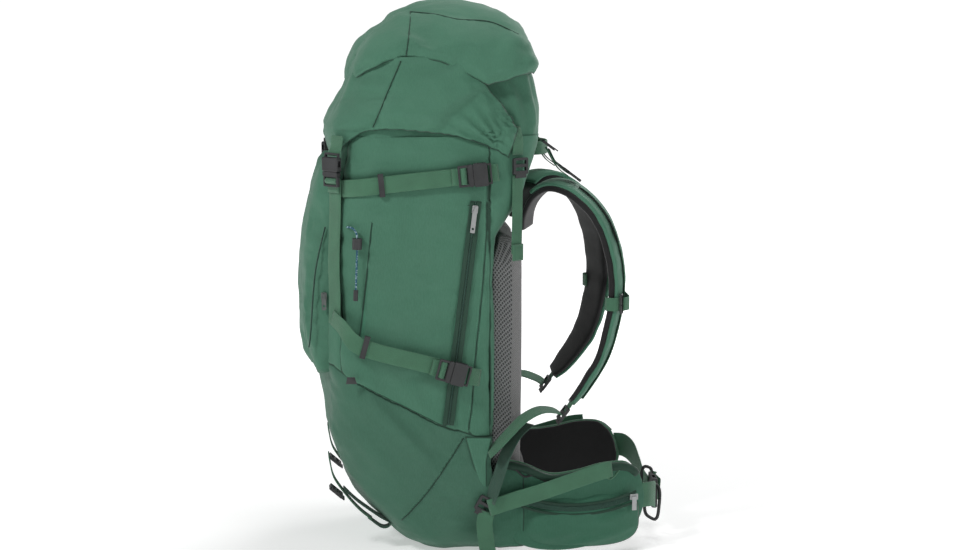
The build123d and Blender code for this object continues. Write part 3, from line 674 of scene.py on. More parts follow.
def crossing_pair(label, points, material, bodies, start, end, *nodes, across=ACROSS):
    """A strap on each side that crosses a joint, baked in place without following either body. bodies, start
    and end are not used.
    """
    for sign, word in SIDES:
        side = (across[0] * sign, across[1], across[2])
        band = webbing(f"{label}_{word}", flip(points, sign), side, 20, material=material)
        if nodes:
            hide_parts(*nodes)
        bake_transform(band)


def tube_pair(label, points, radius, material, body, slot, step=4.0, count=10):
    """A cord or piping on the right and its mirror image on the left."""
    for sign, word in SIDES:
        put(tube(f"{label}_{word}", flip(points, sign), radius, material, step, count), body, slot)


def seam_cord(name, thing, line, body, radius=0.9):
    """A thin dark cord along a seam, painted shade for the seam's groove, that follows a piece's surface
    along (y, z) points, on both sides of the pack.
    """
    points = vertices(thing.data) / MM
    track = smooth_line([(0, y, z) for y, z in line])[:, 1:]
    for sign, word in SIDES:
        own = points[points[:, 0] * sign > 20]
        if not len(own):
            continue
        route = []
        for y, z in track:
            gap = (own[:, 1] - y) ** 2 + (own[:, 2] - z) ** 2
            near = np.argsort(gap)[:5]
            near = near[np.abs(own[near, 0] - own[near[0], 0]) < 12]
            weight = 1 / (gap[near] + 1.0)
            route.append((float(np.sum(own[near, 0] * weight) / np.sum(weight)) + 0.7 * sign, y, z))
        put(tube(f"{name}_{word}", route, radius, SEAM_SHADE, 4, 6), body, "shell_cloth")


PILLOW_COLS = 176
PILLOW_ROWS = 26


def pillow(name, origin, right, out, width, height, radius, depth, material, bulge):
    """A puffed upright pad with a rounded outline: flat at the back, domed at the front."""
    origin, right, up, out = (np.array(v, float) for v in (origin, right, UP, out))
    turn = full_turn(PILLOW_COLS)
    power = 2 / (2 + 3.2 * (1 - 2 * radius / min(width, height)))
    rings = []
    for s in np.linspace(0, 1, PILLOW_ROWS):
        scale = max((1 - s) ** 0.75, 0.004)
        height_share = 1 - (1 - s) ** 3.2
        x = squared(np.cos(turn), power) * scale * width / 2
        z = squared(np.sin(turn), power) * scale * height / 2
        lift = height_share * depth + bulge(x, z) * min(1.0, height_share * 1.6)
        rings.append(origin + x[:, None] * right + z[:, None] * up + lift[:, None] * out)
    rings = np.array(rings)
    across, upward = grid_lengths(rings)
    return ring_mesh(name, rings, material, np.dstack([rings @ right, rings @ up]),
                     {"seam_d": upward, "seam_s": across})


def padded_layer(name, line, side, out, width, thick, share, form, material, puff):
    """A layer of a padded strap, between two shares of its thickness, 0.5 being the outer face.

    form is the points round it, the squareness of its edges and of its faces, the puff's reach, how the
    puff goes with the faces, and the size, grain and seed of its bumps."""
    count, edge, face, reach, faces, bumps, grain, seed = form
    turn = full_turn(count)
    low, high = share
    a = squared(np.cos(turn), edge) * (width / 2)[:, None]
    half, middle = (high - low) * thick / 2, (low + high) * thick / 2
    b = squared(np.sin(turn), face) * half[:, None] + middle[:, None]
    b = b + puff * np.exp(-(a / (width / 2)[:, None] / reach) ** 4) * faces(np.sin(turn))
    rings = line[:, None] + a[..., None] * side[:, None] + b[..., None] * out[:, None]
    rings = rings + out[:, None] * (bumps * smooth_noise(rings, grain, seed))[..., None]
    across, length = grid_lengths(rings)
    return ring_mesh(name, rings, material, np.dstack([length, across]),
                     {"seam_d": np.full(rings.shape[:2], FAR), "seam_s": length})


# ---------------------------------------------------------------- the bag

BACK_COLS, SIDE_COLS, FRONT_COLS = 26, 42, 34
SIDE_END = BACK_COLS + SIDE_COLS
HALF_COLS = SIDE_END + FRONT_COLS
TABLE_HEIGHTS = np.arange(0, COLLAR_TOP + 1, 2.0)
BOOT_SEAM = [(-260, 300), (-186, 289), (-148, 266), (-88, 234), (-30, 203), (30, 184), (200, 184)]
BOOT_SIDE_SEAM = [(6, 184), (-43, 107), (-85, 56)]
REAR_SEAM = [(44, 600), (40, 530), (39, 477), (32, 389), (23, 300), (19, 241), (13, 196)]
FLOOR_CENTRE = np.array([0.0, -8.0, 0.0])


def bag_ring(values):
    """A ring of points round the bag, with the same columns between the seams at every height."""
    half = half_outline(*values)
    run = measure(half)
    stops = [0.0]
    for y in (BACK_SEAM, max(FRONT_SEAM, values[0] + 24)):
        index = np.argmax(half[:, 1] <= y)
        stops.append(run[index] if index else run[-1] * 0.5)
    stops.append(run[-1])
    where = [0.0]
    for a, b, count in zip(stops, stops[1:], (BACK_COLS, SIDE_COLS, FRONT_COLS)):
        where += list(np.linspace(a, b, count + 1)[1:])
    return closed_ring(resample(half, np.array(where)))


RINGS = np.array([bag_ring(values) for values in sections(BAG, TABLE_HEIGHTS)])


def bag_zone(columns, low, high, rows):
    """A grid over some columns. low and high are heights, or None for the boot's seam."""
    made = []
    for column in columns:
        x, y = RINGS[:, column].T
        seam = TABLE_HEIGHTS[np.argmax(TABLE_HEIGHTS - line_height(BOOT_SEAM, y) > 0)]
        heights = np.linspace(seam if low is None else low, seam if high is None else high, rows)
        made.append(np.column_stack([np.interp(heights, TABLE_HEIGHTS, v) for v in (x, y)] + [heights]))
    return np.array(made).transpose(1, 0, 2)


def upper_strap_gap(y, z):
    return z - (552 + (y + 182) * 0.1)


def lower_strap_gap(y, z):
    return z - (364 - (y + 184) * 0.44)


def side_relief(grid):
    """The dents that the side straps press into the cloth, and slack folds between them."""
    x, y, z = np.moveaxis(grid, 2, 0)
    dents = -2.4 * bell(upper_strap_gap(y, z), 16) - 1.6 * bell(lower_strap_gap(y, z), 16)
    folds = 3.6 * smooth_noise(grid, (40, 90, 16), 31) * bell(z - 600, 40)
    slack = 2.6 * slanted_noise(x, y + z * 0.6, z - y * 0.5, (60, 26, 90), 17) * bell(z - 260, 90)
    cross = 1.6 * slanted_noise(x, y * 0.5 + z * 0.2, z - y * 0.25, (60, 60, 24), 19)
    return (dents + folds + slack + cross) * rise((RIM - z) / 25)


def boot_relief(grid):
    """A flat underside, with slack folds that sweep up the boot's walls."""
    x, y, z = np.moveaxis(grid, 2, 0)
    slack = 3.2 * slanted_noise(x, y + z * 0.9, z - y * 0.3, (60, 22, 120), 23)
    sweep = 6.0 * slanted_noise(x, y * 0.8 + z * 0.6, z * 0.2 - y * 0.2, (90, 44, 60), 25)
    return np.where(z < 6, -0.4, (slack + sweep) * rise(z / 60))


def collar_relief(grid):
    """Upright gathers where the drawcord pulls the collar in."""
    x, y, z = np.moveaxis(grid, 2, 0)
    pleat = np.sin(np.arctan2(y + 20, x) * 34 + 3.0 * smooth_noise(grid, (60, 60, 60), 3))
    return 2.8 * pleat * rise((z - 560) / 70) * rise((y - 20) / 40) * rise((z - RIM) / 20 + 0.35)


def build_bag():
    """The bag's panels between their seams, its collar and its boot."""
    open_top = (1, 0, 1, 1)
    grid = bag_zone(range(SIDE_END, 2 * HALF_COLS - SIDE_END + 1), None, RIM, 76)
    panel = cloth_panel("front_panel", grid, SHELL, seed=2, puff=1.0, sides=open_top)
    put(crisp(thicken(panel, 1.5)), "bag", "shell_cloth", "front_panel")
    grid = bag_zone(range(-BACK_COLS, BACK_COLS + 1), None, RIM, 76)
    panel = cloth_panel("back_wall", grid, SHELL, relief=collar_relief, seed=3, puff=0.8, sides=open_top)
    put(crisp(thicken(panel, 1.5)), "bag", "shell_cloth", "back_wall")
    for sign, word in SIDES:
        name = f"side_panel_{word}"
        grid = mirror_grid(bag_zone(range(BACK_COLS, SIDE_END + 1), None, RIM, 84), sign)
        panel = cloth_panel(name, grid, SHELL, [REAR_SEAM], side_relief, puff=0.8, sides=open_top,
                            seed=4 + sign)
        put(crisp(thicken(panel, 1.5)), "bag", "shell_cloth", name)
        seam_cord("side_seam_shade", panel, REAR_SEAM[1:], "bag", 0.7)
    grid = bag_zone(range(2 * HALF_COLS), RIM, COLLAR_TOP, 34)
    collar = cloth_panel("extension_collar", grid, SHELL, relief=collar_relief, puff=0.0, crease=0.6,
                         sides=(0, 1, 0, 0), seed=8, closed=True)
    put(crisp(thicken(collar, 1.2)), "bag", "shell_cloth", "extension_collar")

    wall = bag_zone(range(2 * HALF_COLS), 0.0, None, 60)
    floor = [FLOOR_CENTRE + (wall[0] - FLOOR_CENTRE) * s for s in np.linspace(0.02, 0.97, 14)]
    grid = np.concatenate([np.array(floor), wall])
    boot = cloth_panel("base_boot", grid, BOOT, [BOOT_SIDE_SEAM], boot_relief, puff=0.6, crease=0.8,
                       sides=(0, 1, 0, 0), seed=11, closed=True)
    put(thicken(boot, 1.8), "bag", "boot_cloth", "base_boot")
    seam_cord("boot_seam_shade", boot, BOOT_SIDE_SEAM, "bag", 0.9)


# ---------------------------------------------------------------- pockets and zips

POCKET_BOTTOM = [(-154, 275), (-146, 266), (-88, 236), (-30, 205), (-20, 201)]
POCKET_TOP = [(-126, 504), (-117, 512), (-42, 521), (19, 529)]
POCKET_FRONT = [(-154, 275), (-151, 310), (-144, 348), (-135, 422), (-127, 497), (-126, 504)]
POCKET_REAR = [(-20, 201), (-10, 285), (19, 529)]
ZIP_LINE = [(-17, 205), (24, 534)]
GUSSET_LINE = [(-219, 316), (-216, 339), (-208, 428), (-193, 494)]
FACE_LINE = [(-196, 578), (-204, 541), (-217, 466), (-223, 376), (-221, 300)]
GUSSET_X = 127.4
FRONT_POCKET_EDGE = -124
# Sections of the front pocket: height, front, half width, front radius
FRONT_POCKET = np.array([
    (280, -216, 122, 40), (300, -223, 124, 43), (330, -228, 126, 46), (400, -230, 128, 48),
    (470, -224, 128, 46), (540, -210, 124, 40), (585, -198, 116, 30),
], float)


def bag_side_x(y, z):
    """How far out the bag's right side is at (y, z)."""
    front, half, radius = (pchip(BAG[:, 0], BAG[:, k], np.asarray(z, float)) for k in (1, 3, 4))
    past = np.clip(front + BOW * half + radius - y, 0, radius)
    return half - radius + np.sqrt(radius**2 - past**2)


def coons(bottom, top, left, right, rows, cols):
    """A smooth grid between four boundary lines of (y, z) points, as y and z."""
    def at(line, t):
        data = np.array(line, float)
        return resample(data, t * measure(data)[-1])
    u, v = np.linspace(0, 1, cols), np.linspace(0, 1, rows)
    low, high, first, last = at(bottom, u), at(top, u), at(left, v), at(right, v)
    u, v = u[None, :, None], v[:, None, None]
    corners = (1 - u) * (1 - v) * low[0] + u * (1 - v) * low[-1] + (1 - u) * v * high[0] + u * v * high[-1]
    grid = (1 - v) * low[None] + v * high[None] + (1 - u) * first[:, None] + u * last[:, None] - corners
    return grid[..., 0], grid[..., 1]


def side_pocket(name, sign):
    """The big zipped side pocket: sewn in all round, its top hem standing a little off the bag."""
    y, z = coons(POCKET_BOTTOM, POCKET_TOP, POCKET_FRONT, POCKET_REAR, 92, 44)
    grid = np.dstack([bag_side_x(y, z), y, z])
    sewn = sewn_edges(grid, (1, 0, 1, 1))[0]
    hem = sewn_edges(grid, (0, 1, 0, 0))[0]
    lift = 1.4 + 8.6 * (1 - np.exp(-(sewn / 17) ** 1.3)) * (0.35 + 0.65 * (1 - np.exp(-hem / 34)))
    lift -= 1.4 * bell(lower_strap_gap(y, z), 15)
    slack = slanted_noise(grid[..., 0], y * 0.8 + z * 0.55, z - y * 0.3, (60, 130, 17), 41)
    lift += 2.4 * slack * rise(sewn / 30)
    grid = mirror_grid(grid + grid_normals(grid, False) * lift[..., None], sign)
    return thicken(cloth_panel(name, grid, POCKET, puff=0.0, crease=0.5, seed=51), 1.3)


def side_pockets():
    both_sides(side_pocket, "side_pocket", "bag", "pocket_cloth", "side_pocket_{}")
    for word in ("right", "left"):
        seam_cord("pocket_hem", PIECES[f"side_pocket_{word}"], POCKET_TOP, "bag", 0.9)
        seam_cord("pocket_edge", PIECES[f"side_pocket_{word}"], POCKET_FRONT, "bag", 0.8)


def strip_on_side(name, line, width, lift, material, sign, thick):
    """A flat strip laid on the bag's side along (y, z) points."""
    data = smooth_line([(0, y, z) for y, z in line], 5)[:, 1:]
    points = np.column_stack([(bag_side_x(data[:, 0], data[:, 1]) + lift) * sign, data])
    across = np.cross(np.gradient(points, axis=0), (sign, 0, 0))
    return loft(name, points, *frames_along(points, across), band_section(width, thick), material)


def zip_parts():
    """The long side zip: a dark tape, a raised coil and two cloth lips."""
    def tape(name, sign):
        return strip_on_side(name, ZIP_LINE, 14, 1.4, TAPE, sign, 0.8)

    def coil(name, sign):
        yz = np.linspace(*np.array(ZIP_LINE, float), 220)
        line = np.column_stack([(bag_side_x(*yz.T) + 2.2) * sign, yz])
        turn = full_turn(8)
        swell = 1.25 + 0.35 * (np.arange(len(line)) % 2)[:, None]
        teeth = np.dstack([swell * 1.2 * np.cos(turn), swell * 0.8 * np.sin(turn)])
        return loft(name, line, *frames_along(line, (0, 1, 0)), teeth, TAPE)

    both_sides(tape, "side_zip_tape", "bag", "zip_tape", "side_zip_tapes")
    both_sides(coil, "side_zip_coil", "bag", "zip_tape")
    for number, shift in enumerate((-5.2, 5.2)):
        line = [(y + shift, z) for y, z in ZIP_LINE]
        both_sides(lambda name, sign: strip_on_side(name, line, 6.4, 2.9, SHELL, sign, 1.3),
                   f"side_zip_lip_{number}", "bag", "shell_cloth")


def front_ring(height):
    """Half of the front pocket's section at a height, from its edge on the bag round to the middle."""
    front, half, radius = (np.interp(height, FRONT_POCKET[:, 0], FRONT_POCKET[:, k]) for k in (1, 2, 3))
    corner = front + BOW * half + radius
    turn = np.linspace(0, math.pi / 2, 20)[1:]
    s = np.linspace(1, 0, 30)[1:]
    x = [np.full(30, half), half - radius + radius * np.cos(turn), (half - radius) * s]
    y = [np.linspace(max(FRONT_POCKET_EDGE, corner + 1), corner, 30), corner - radius * np.sin(turn),
         front + BOW * half * s * s]
    return np.column_stack([np.concatenate(x), np.concatenate(y)])


def front_relief(grid):
    """The gusset's and the face's grooves, the slack low on the sides, and hanging folds."""
    x, y, z = np.abs(grid[..., 0]), grid[..., 1], grid[..., 2]
    seam = np.minimum(distance_to_line(y, z, GUSSET_LINE), distance_to_line(y, z, FACE_LINE))
    sides = 6.0 * rise((470 - z) / 120) * bell(y + 205, 20) - 1.6 * bell(seam, 2.2)
    hang = slanted_noise(x, y, z * 0.4, (34, 30, 60), 61)
    return np.where(x > 100, sides, 0) + 2.6 * hang * rise((585 - z) / 80)


def front_pocket():
    """The bellows pocket on the front, with its piped face and zipped gusset."""
    rows = []
    for z in np.linspace(280, 585, 66):
        half = front_ring(z)
        right = resample(half, np.linspace(0, measure(half)[-1], 40))
        flat = np.concatenate([right, right[-2::-1] * [-1, 1]])
        rows.append(np.column_stack([flat, np.full(len(flat), z)]))
    grid = np.array(rows)
    inward = grid[:1] + [0, 16, 1.5]
    inward[..., 1] = np.maximum(inward[..., 1], -196)
    grid = np.concatenate([inward, grid, grid[-1:] + [0, 14, 3]])
    piece = cloth_panel("front_pocket", grid, SHELL, relief=front_relief, puff=1.4, seed=62, pressure=2.0)
    put(thicken(piece, 1.4), "bag", "shell_cloth", "front_pocket")
    coil = [(GUSSET_X, y, z) for y, z in GUSSET_LINE]
    tube_pair("front_zip_coil", coil, 1.2, TAPE, "bag", "zip_tape", count=8)


# ---------------------------------------------------------------- lid

TIER_COLS = 132
SKIRT_REAR = [(71, 590), (71, 592), (86, 637), (67, 668), (42, 699), (30, 734), (28, 740)]
SKIRT_LOW = [(-230, 596), (-190, 597), (-173, 611), (-149, 630), (-123, 639), (-84, 637), (-13, 629),
             (31, 617), (58, 604), (71, 596), (110, 592)]
SKIRT_SEAM = [(-123, 641), (-105, 683), (-82, 735)]
DOME_LOW = [(-230, 690), (-168, 697), (-138, 720), (-105, 735), (-78, 740), (-48, 739), (-26, 734), (-5, 725),
            (17, 714), (42, 700), (62, 704), (84, 711), (107, 716), (150, 714)]
DOME_SEAM = [(-75, 738), (-70, 770), (-64, 804)]
CROWN_SEAM = [(-64, 804), (-30, 801), (2, 794), (50, 790), (90, 772)]
CROWN = np.array([0.0, -12.0, 817.6])


def tier_point(height, share):
    """A point on the skirt's section: share 0 is at its rear edge on the right, 1 the middle of the front."""
    half = half_outline(*(np.interp(height, LOWER_TIER[:, 0], LOWER_TIER[:, k]) for k in range(1, 6)))
    run = measure(half)
    rear = np.interp(height, [z for y, z in SKIRT_REAR], [y for y, z in SKIRT_REAR])
    start = np.interp(-rear, np.maximum.accumulate(-half[:, 1]), run)
    return resample(half, np.array([start + share * (run[-1] - start)]))[0]


def skirt_relief(grid):
    """The tucked hem, the pleats round the rear strap, a seam groove and swags."""
    x, y, z = np.abs(grid[..., 0]), grid[..., 1], grid[..., 2]
    tuck = -7.0 * rise(1 - (z - line_height(SKIRT_LOW, y)) / 26)
    reach = np.hypot(y - 66, z - 604)
    pleats = np.sin(np.arctan2(z - 604, 66 - y) * 22) * bell(reach - 42, 30)
    groove = -1.2 * bell(distance_to_line(y, z, SKIRT_SEAM), 2.4)
    swags = slanted_noise(x, y + z * 0.7, z - y * 0.5, (60, 80, 19), 71)
    return tuck + 4.6 * pleats + groove + 4.2 * swags * rise((z - 600) / 40)


def lower_tier():
    """The lid's skirt, snug over the front and sides, with an elastic hem."""
    heights = np.arange(584, 742, 2.0)
    right = []
    for share in np.linspace(0, 1, TIER_COLS // 2 + 1):
        line = np.array([(*tier_point(z, share), z) for z in heights])
        low = line[np.argmax(line[:, 2] >= line_height(SKIRT_LOW, line[:, 1])), 2]
        right.append(resample(line, np.linspace(low, 740, 38), line[:, 2]))
    right = np.array(right)
    grid = np.concatenate([right, right[-2::-1] * [-1, 1, 1]]).transpose(1, 0, 2)
    piece = cloth_panel("lid_skirt", grid, SHELL, relief=skirt_relief, puff=1.6, sides=(1, 0, 1, 1), seed=72,
                        pressure=2.0)
    put(thicken(piece, 1.6), "lid", "shell_cloth", "lid_skirt")
    seam_cord("skirt_seam_shade", piece, SKIRT_SEAM, "lid")


def dome_relief(grid):
    """The hem, two seam grooves, and drapes over the front and the rear."""
    x, y, z = np.abs(grid[..., 0]), grid[..., 1], grid[..., 2]
    lift = np.clip(z - line_height(DOME_LOW, y), 0, 200)
    grooves = sum(bell(distance_to_line(y, z, line), 2.4) for line in (DOME_SEAM, CROWN_SEAM))
    drape = 3.6 * slanted_noise(x, y * 0.6 + z, z - y * 0.4, (70, 24, 60), 81)
    rear = 4.4 * slanted_noise(x, y - z * 0.35, z * 0.4, (50, 15, 60), 83) * rise((y - 30) / 60)
    folds = (drape + rear) * rise(lift / 20) * rise((815 - z) / 12)
    return folds - 5.0 * rise(1 - lift / 14) - 1.2 * grooves


def upper_tier():
    """The lid's domed top pocket."""
    heights = np.arange(684, 817.1, 1.5)
    rings = []
    for values in sections(UPPER_TIER, heights):
        half = half_outline(*values)
        rings.append(closed_ring(resample(half, np.linspace(0, measure(half)[-1], TIER_COLS // 2 + 1))))
    columns = []
    for x, y in np.array(rings).transpose(1, 2, 0):
        line = np.column_stack([x, y, heights])[np.argmax(heights >= line_height(DOME_LOW, y)):]
        columns.append(resample(line, np.linspace(0, measure(line)[-1], 42)))
    grid = np.array(columns).transpose(1, 0, 2)
    caps = [CROWN + (grid[-1] - CROWN) * s + [0, 0, 0.6 * (1 - s)] for s in (0.75, 0.5, 0.25, 0.03)]
    grid = np.concatenate([grid, np.array(caps)])
    piece = cloth_panel("lid_pocket", grid, SHELL, relief=dome_relief, puff=1.0, sides=(1, 0, 0, 0), seed=84,
                        closed=True, pressure=2.0)
    put(thicken(piece, 1.6), "lid", "shell_cloth", "lid_pocket")
    seam_cord("dome_seam_shade", piece, DOME_SEAM, "lid")
    seam_cord("crown_seam_shade", piece, CROWN_SEAM, "lid")


# ---------------------------------------------------------------- back system

PAD_INNER, PAD_OUTER = 22.0, 136.0


def pad_section(z):
    """The back pad's section at a height, on the right: rounded at its outer edge and its ends."""
    end = max(min(z - 84, 484 - z), 0.5)
    face = 57.2 + 37.8 * min(1.0, math.sqrt(end / 16))
    low = 50.5 if z < 440 else 50.5 + (z - 440) * 0.3
    r = min(15.0, (face - low) * 0.48)
    turn = np.linspace(0, math.pi / 2, 8)
    path = [(PAD_INNER, low), (PAD_INNER, face - 10)]
    path += [(PAD_INNER + 10 - 10 * math.cos(t), face - 10 + 10 * math.sin(t)) for t in turn]
    path += [(x, face) for x in np.linspace(PAD_INNER + 16, PAD_OUTER - r - 4, 14)]
    path += [(PAD_OUTER - r + r * math.sin(t), face - r + r * math.cos(t)) for t in turn]
    path += [(PAD_OUTER, y) for y in np.linspace(face - r - 1, low + 2, 8)]
    path += [(PAD_OUTER - 2, low)]
    return [(x, y, z) for x, y in path]


def back_pad(name, sign):
    """One half of the mesh-covered back pad, open mesh at its edges and smooth mesh on its face."""
    rings = np.array([flip(pad_section(z), sign) for z in np.linspace(86, 482, 60)])
    broad = smooth_noise(rings, (60, 60, 70), 91)
    rings[..., 1] += 1.3 * broad * (rings[..., 1] > 60)
    rings[..., 0] += sign * 1.6 * broad * (np.abs(rings[..., 0]) > 130)
    pad = ring_mesh(name, rings, MESH)
    pad.data.materials.append(SMOOTH_MESH)
    for face in pad.data.polygons:
        face.material_index = int(face.center.y > 79 * MM)
    return pad


def lumbar_pad():
    """The dark brushed cushion low on the back, quilted into three."""
    low, high = (np.array(corner, float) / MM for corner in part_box("lumbar_pad"))
    middle, (width, depth, height) = (low + high) / 2, high - low

    def quilting(x, z):
        return -2.2 * bell(np.abs(x) - width * 0.22, 3.0) - 0.8 * np.abs(x) / width
    place = (middle[0], low[1], middle[2])
    pad = pillow("lumbar_pad", place, (-1, 0, 0), (0, 1, 0), width, height, 26, depth, PADDING, quilting)
    put(pad, "bag", "dark_padding", "lumbar_pad")


def back_system():
    """The back pad's two halves with an air channel between them, the lumbar pad and the haul loop."""
    both_sides(back_pad, "back_pad", "bag", "mesh_foam", "back_pad")
    lumbar_pad()
    loop = [(-48, 121.5, 600), (-40, 134, 600), (-16, 144.5, 600), (16, 144.5, 600), (40, 134, 600),
            (48, 121.5, 600)]
    put(webbing("haul_loop", loop, UP, 20, 2.6), "bag", "webbing", "haul_loop")


# ---------------------------------------------------------------- straps on the pack

CORNER = math.radians(50)
CORNER_ACROSS = (math.sin(CORNER), math.cos(CORNER), 0.0)
REAR_ACROSS = (0.6, -0.8, 0)
# The webbing's turn over a prong half's middle bar: how far back from its mouth, and how far out
BAR_TURN = [(31, 0.7), (21, 0.9), (17, 5.2), (13.7, 6.9), (10.4, 4.4), (8.8, 0.8)]


def pack_straps():
    """The side, lid and rear straps and the gear loops."""
    side_straps = (
        ("upper_strap", [(145, -172.7, 552), (157.6, -159.3, 553), (166.5, -143.2, 554.8), (170.6, -126, 557),
                         (172.6, -70, 563), (172.6, 10, 571)]),
        ("lower_strap", [(150, -184, 364), (172, -170, 352), (183, -152, 331), (183.2, -120, 317.5),
                         (182.8, -60, 301.5), (182.8, -26, 292)]),
        ("upper_strap_tab", [(172.6, 41, 574.4), (173, 48, 575), (171, 57, 576)]),
        ("lower_strap_tab", [(184.2, 10, 281), (183, 18, 279), (172, 30, 275)]),
    )
    for label, points in side_straps:
        strap_pair(label, points, UP, 25, 1.6, "bag", "compression_webbing", wobble=0.25)
    strap = [(144.4, -178.2, 566), (144.4, -178.3, 540), (145, -179, 500), (146.6, -180.8, 440),
             (150, -180.6, 390), (153.5, -181.6, 356)]
    strap_pair("lid_strap", strap, CORNER_ACROSS, 25, 1.6, "bag", "lid_strap_webbing", wobble=0.4)
    tab = [(146.2, -180.2, 599.5), (145.4, -179.2, 603), (142.6, -175.9, 611), (140.9, -173.9, 628)]
    strap_pair("lid_tab", tab, CORNER_ACROSS, 25, 1.4, "lid", "lid_female_tabs")
    tail = [(158, 86, 570), (160, 85, 500), (160.5, 84, 456)]
    strap_pair("rear_tail", tail, REAR_ACROSS, 20, 1.5, "bag", "rear_strap_tails")
    strap_pair("rear_tail_fold", [(161.4, 86, 470), (161.4, 86, 446)], REAR_ACROSS, 20.6, 3.2, "bag")
    rear = [(156, 82, 640), (158, 86, 622), (158, 86, 600)]
    crossing_pair("lid_rear_strap", rear, WEBBING, ("lid", "bag"), (0.158, 0.086, 0.622),
                  (0.158, 0.086, 0.606), "lid_rear_webbing", across=REAR_ACROSS)
    loop = [(96, -192, 150), (97, -190, 136), (98, -184, 112), (98, -165, 84), (98, -146, 62), (98, -128, 47)]
    strap_pair("gear_loop", loop, ACROSS, 20, 1.6, "bag", "gear_loops")
    back = [(98, -170, 96), (98, -150, 76), (98, -118, 52), (98, -100, 40), (98, -112, 34), (98, -134, 50)]
    # The loop's return half is drawn in the webbing with painted shade.
    strap_pair("gear_loop_return", back, ACROSS, 20, 1.6, "bag", material=SHADED_WEBBING)


def buckle_wraps():
    """The webbing's turn over each prong half's middle bar, and the slack end that it leaves."""
    def facing_front(mouth, slope):
        turn = math.radians(slope)
        return mouth, (0, -math.cos(turn), -math.sin(turn)), ACROSS, (0, -math.sin(turn), math.cos(turn))
    places = (
        ("upper", *facing_front((174.4, 20.0, 572.5), 5.5)),
        ("lower", *facing_front((185.2, -12.0, 287.0), -15.5)),
        ("lid", (146.0, -180.0, 577.0), (0, 0, -1), (math.cos(CORNER), -math.sin(CORNER), 0), CORNER_ACROSS),
    )
    for label, mouth, away, out, across in places:
        points = [np.array(mouth) + run * np.array(away) + lift * np.array(out) for run, lift in BAR_TURN]
        strap_pair(f"{label}_weave", points, across, 24, 1.5, label + "_prong_{}")


def fins():
    """The cloth fins that spread the lower straps' pull into the bag's sides."""
    y, z = coons([(8, 186), (19, 146), (34, 98)], [(47, 186), (39, 150), (40, 98)], [(8, 186), (47, 186)],
                 [(34, 98), (40, 98)], 16, 34)

    def make(name, sign):
        lift = 2.6 + 8.0 * rise((y - 14) / 40) ** 1.5
        grid = mirror_grid(np.dstack([bag_side_x(y, z) + lift, y, z])[::-1], sign)
        return thicken(cloth_panel(name, grid, SHELL, puff=0.6, crease=0.7, seed=95), 1.6)
    both_sides(make, "side_fin", "bag", "shell_cloth", "side_fins")


# ---------------------------------------------------------------- hip belt

# Stations of the hip wing from its root to its tip: middle of its section, height, thickness
WING = np.array([
    (146, 62, 92, 108, 15), (150, 95, 78, 124, 18), (151, 135, 66, 116, 19), (149, 175, 68, 118, 19),
    (145, 215, 76, 120, 18), (138, 250, 80, 112, 17), (124, 279, 82, 84, 14),
], float)
WING_TIP = 34
HIP_REAR, HIP_FRONT = np.array([170.0, 96.0, 0.0]), np.array([156.0, 272.0, 0.0])
HIP_POCKET_Z = 54.0
ZIP_SMILE_Y, ZIP_SMILE_Z, ZIP_SMILE_R = 178.0, 304.0, 232.0


def wing_frame(sign):
    """The wing's middle line with its rounded tip, the way out from it, its heights and its thicknesses."""
    dense = curve_at(WING, np.linspace(0, len(WING) - 1, 240))
    run = measure(dense[:, :3])
    where = np.linspace(0, run[-1], 64)
    data = resample(dense, where, run)
    from_tip = run[-1] - where
    round_end = np.sqrt(np.clip(1 - ((WING_TIP - np.clip(from_tip, 0, WING_TIP)) / WING_TIP) ** 2, 0.02, 1))
    height = np.maximum(data[:, 3], np.where(from_tip < 60, 104, 0)) * round_end
    line = data[:, :3] * [sign, 1, 1]
    out = np.cross(unit(np.gradient(line, axis=0) * [1, 1, 0]), UP) * sign
    return line, out, height, data[:, 4]


def wing_layer(name, sign, share, material, puff):
    line, out, height, thick = wing_frame(sign)
    up = np.broadcast_to(np.array(UP, float), line.shape)
    form = (44, 0.28, 0.62, 0.75, np.sign, 1.2, (46, 30, 30), 101)
    return padded_layer(name, line, up, out, height, thick, share, form, material, puff)


def wing_edge(share, way):
    """Points along the right wing's top edge (way 1) or bottom edge (-1), at a share of its thickness."""
    line, out, height, thick = wing_frame(1)
    return line + out * (share * thick)[:, None] + (way * (height / 2 - 1.0))[:, None] * UP


def hip_wings():
    both_sides(lambda name, sign: wing_layer(name, sign, (-0.5, 0.02), PADDING, 0.0), "hip_wing_pad", "bag",
               "dark_padding", "hip_wing_{}")
    both_sides(lambda name, sign: wing_layer(name, sign, (-0.06, 0.5), HIP, 1.0), "hip_wing_shell", "bag",
               "shell_cloth")
    binding = np.concatenate([wing_edge(-0.05, 1)[::3], wing_edge(-0.05, -1)[::-1][::3]])
    tube_pair("hip_wing_binding", binding, 2.6, WEBBING, "bag", "webbing", 5)
    rim = wing_edge(0.2, 1)[2:-2:3] + [2.5, 0, -5.0]
    tube_pair("hip_wing_rim", rim, 6.5, HIP, "bag", "shell_cloth", 5, 14)
    rear = [(y, 141 - 30 * t ** 0.6 + 4.0 * math.sin(t * math.pi * 5), 10.5)
            for t, y in zip(np.linspace(0, 1, 24), np.linspace(70, 158, 24))]
    front = [(y, 118 + 8 * math.sin(t * math.pi * 3) + 8 * t, 10.0)
             for t, y in zip(np.linspace(0, 1, 18), np.linspace(196, 258, 18))]
    for label, lace, material in (("rear", rear, PLASTIC), ("front", front, WEBBING)):
        points = [(np.interp(y, WING[:, 1], WING[:, 0]) + lift, y, z) for y, z, lift in lace]
        tube_pair(f"wing_bungee_{label}", points, 1.5, material, "bag", "cord_braid", 3, 8)


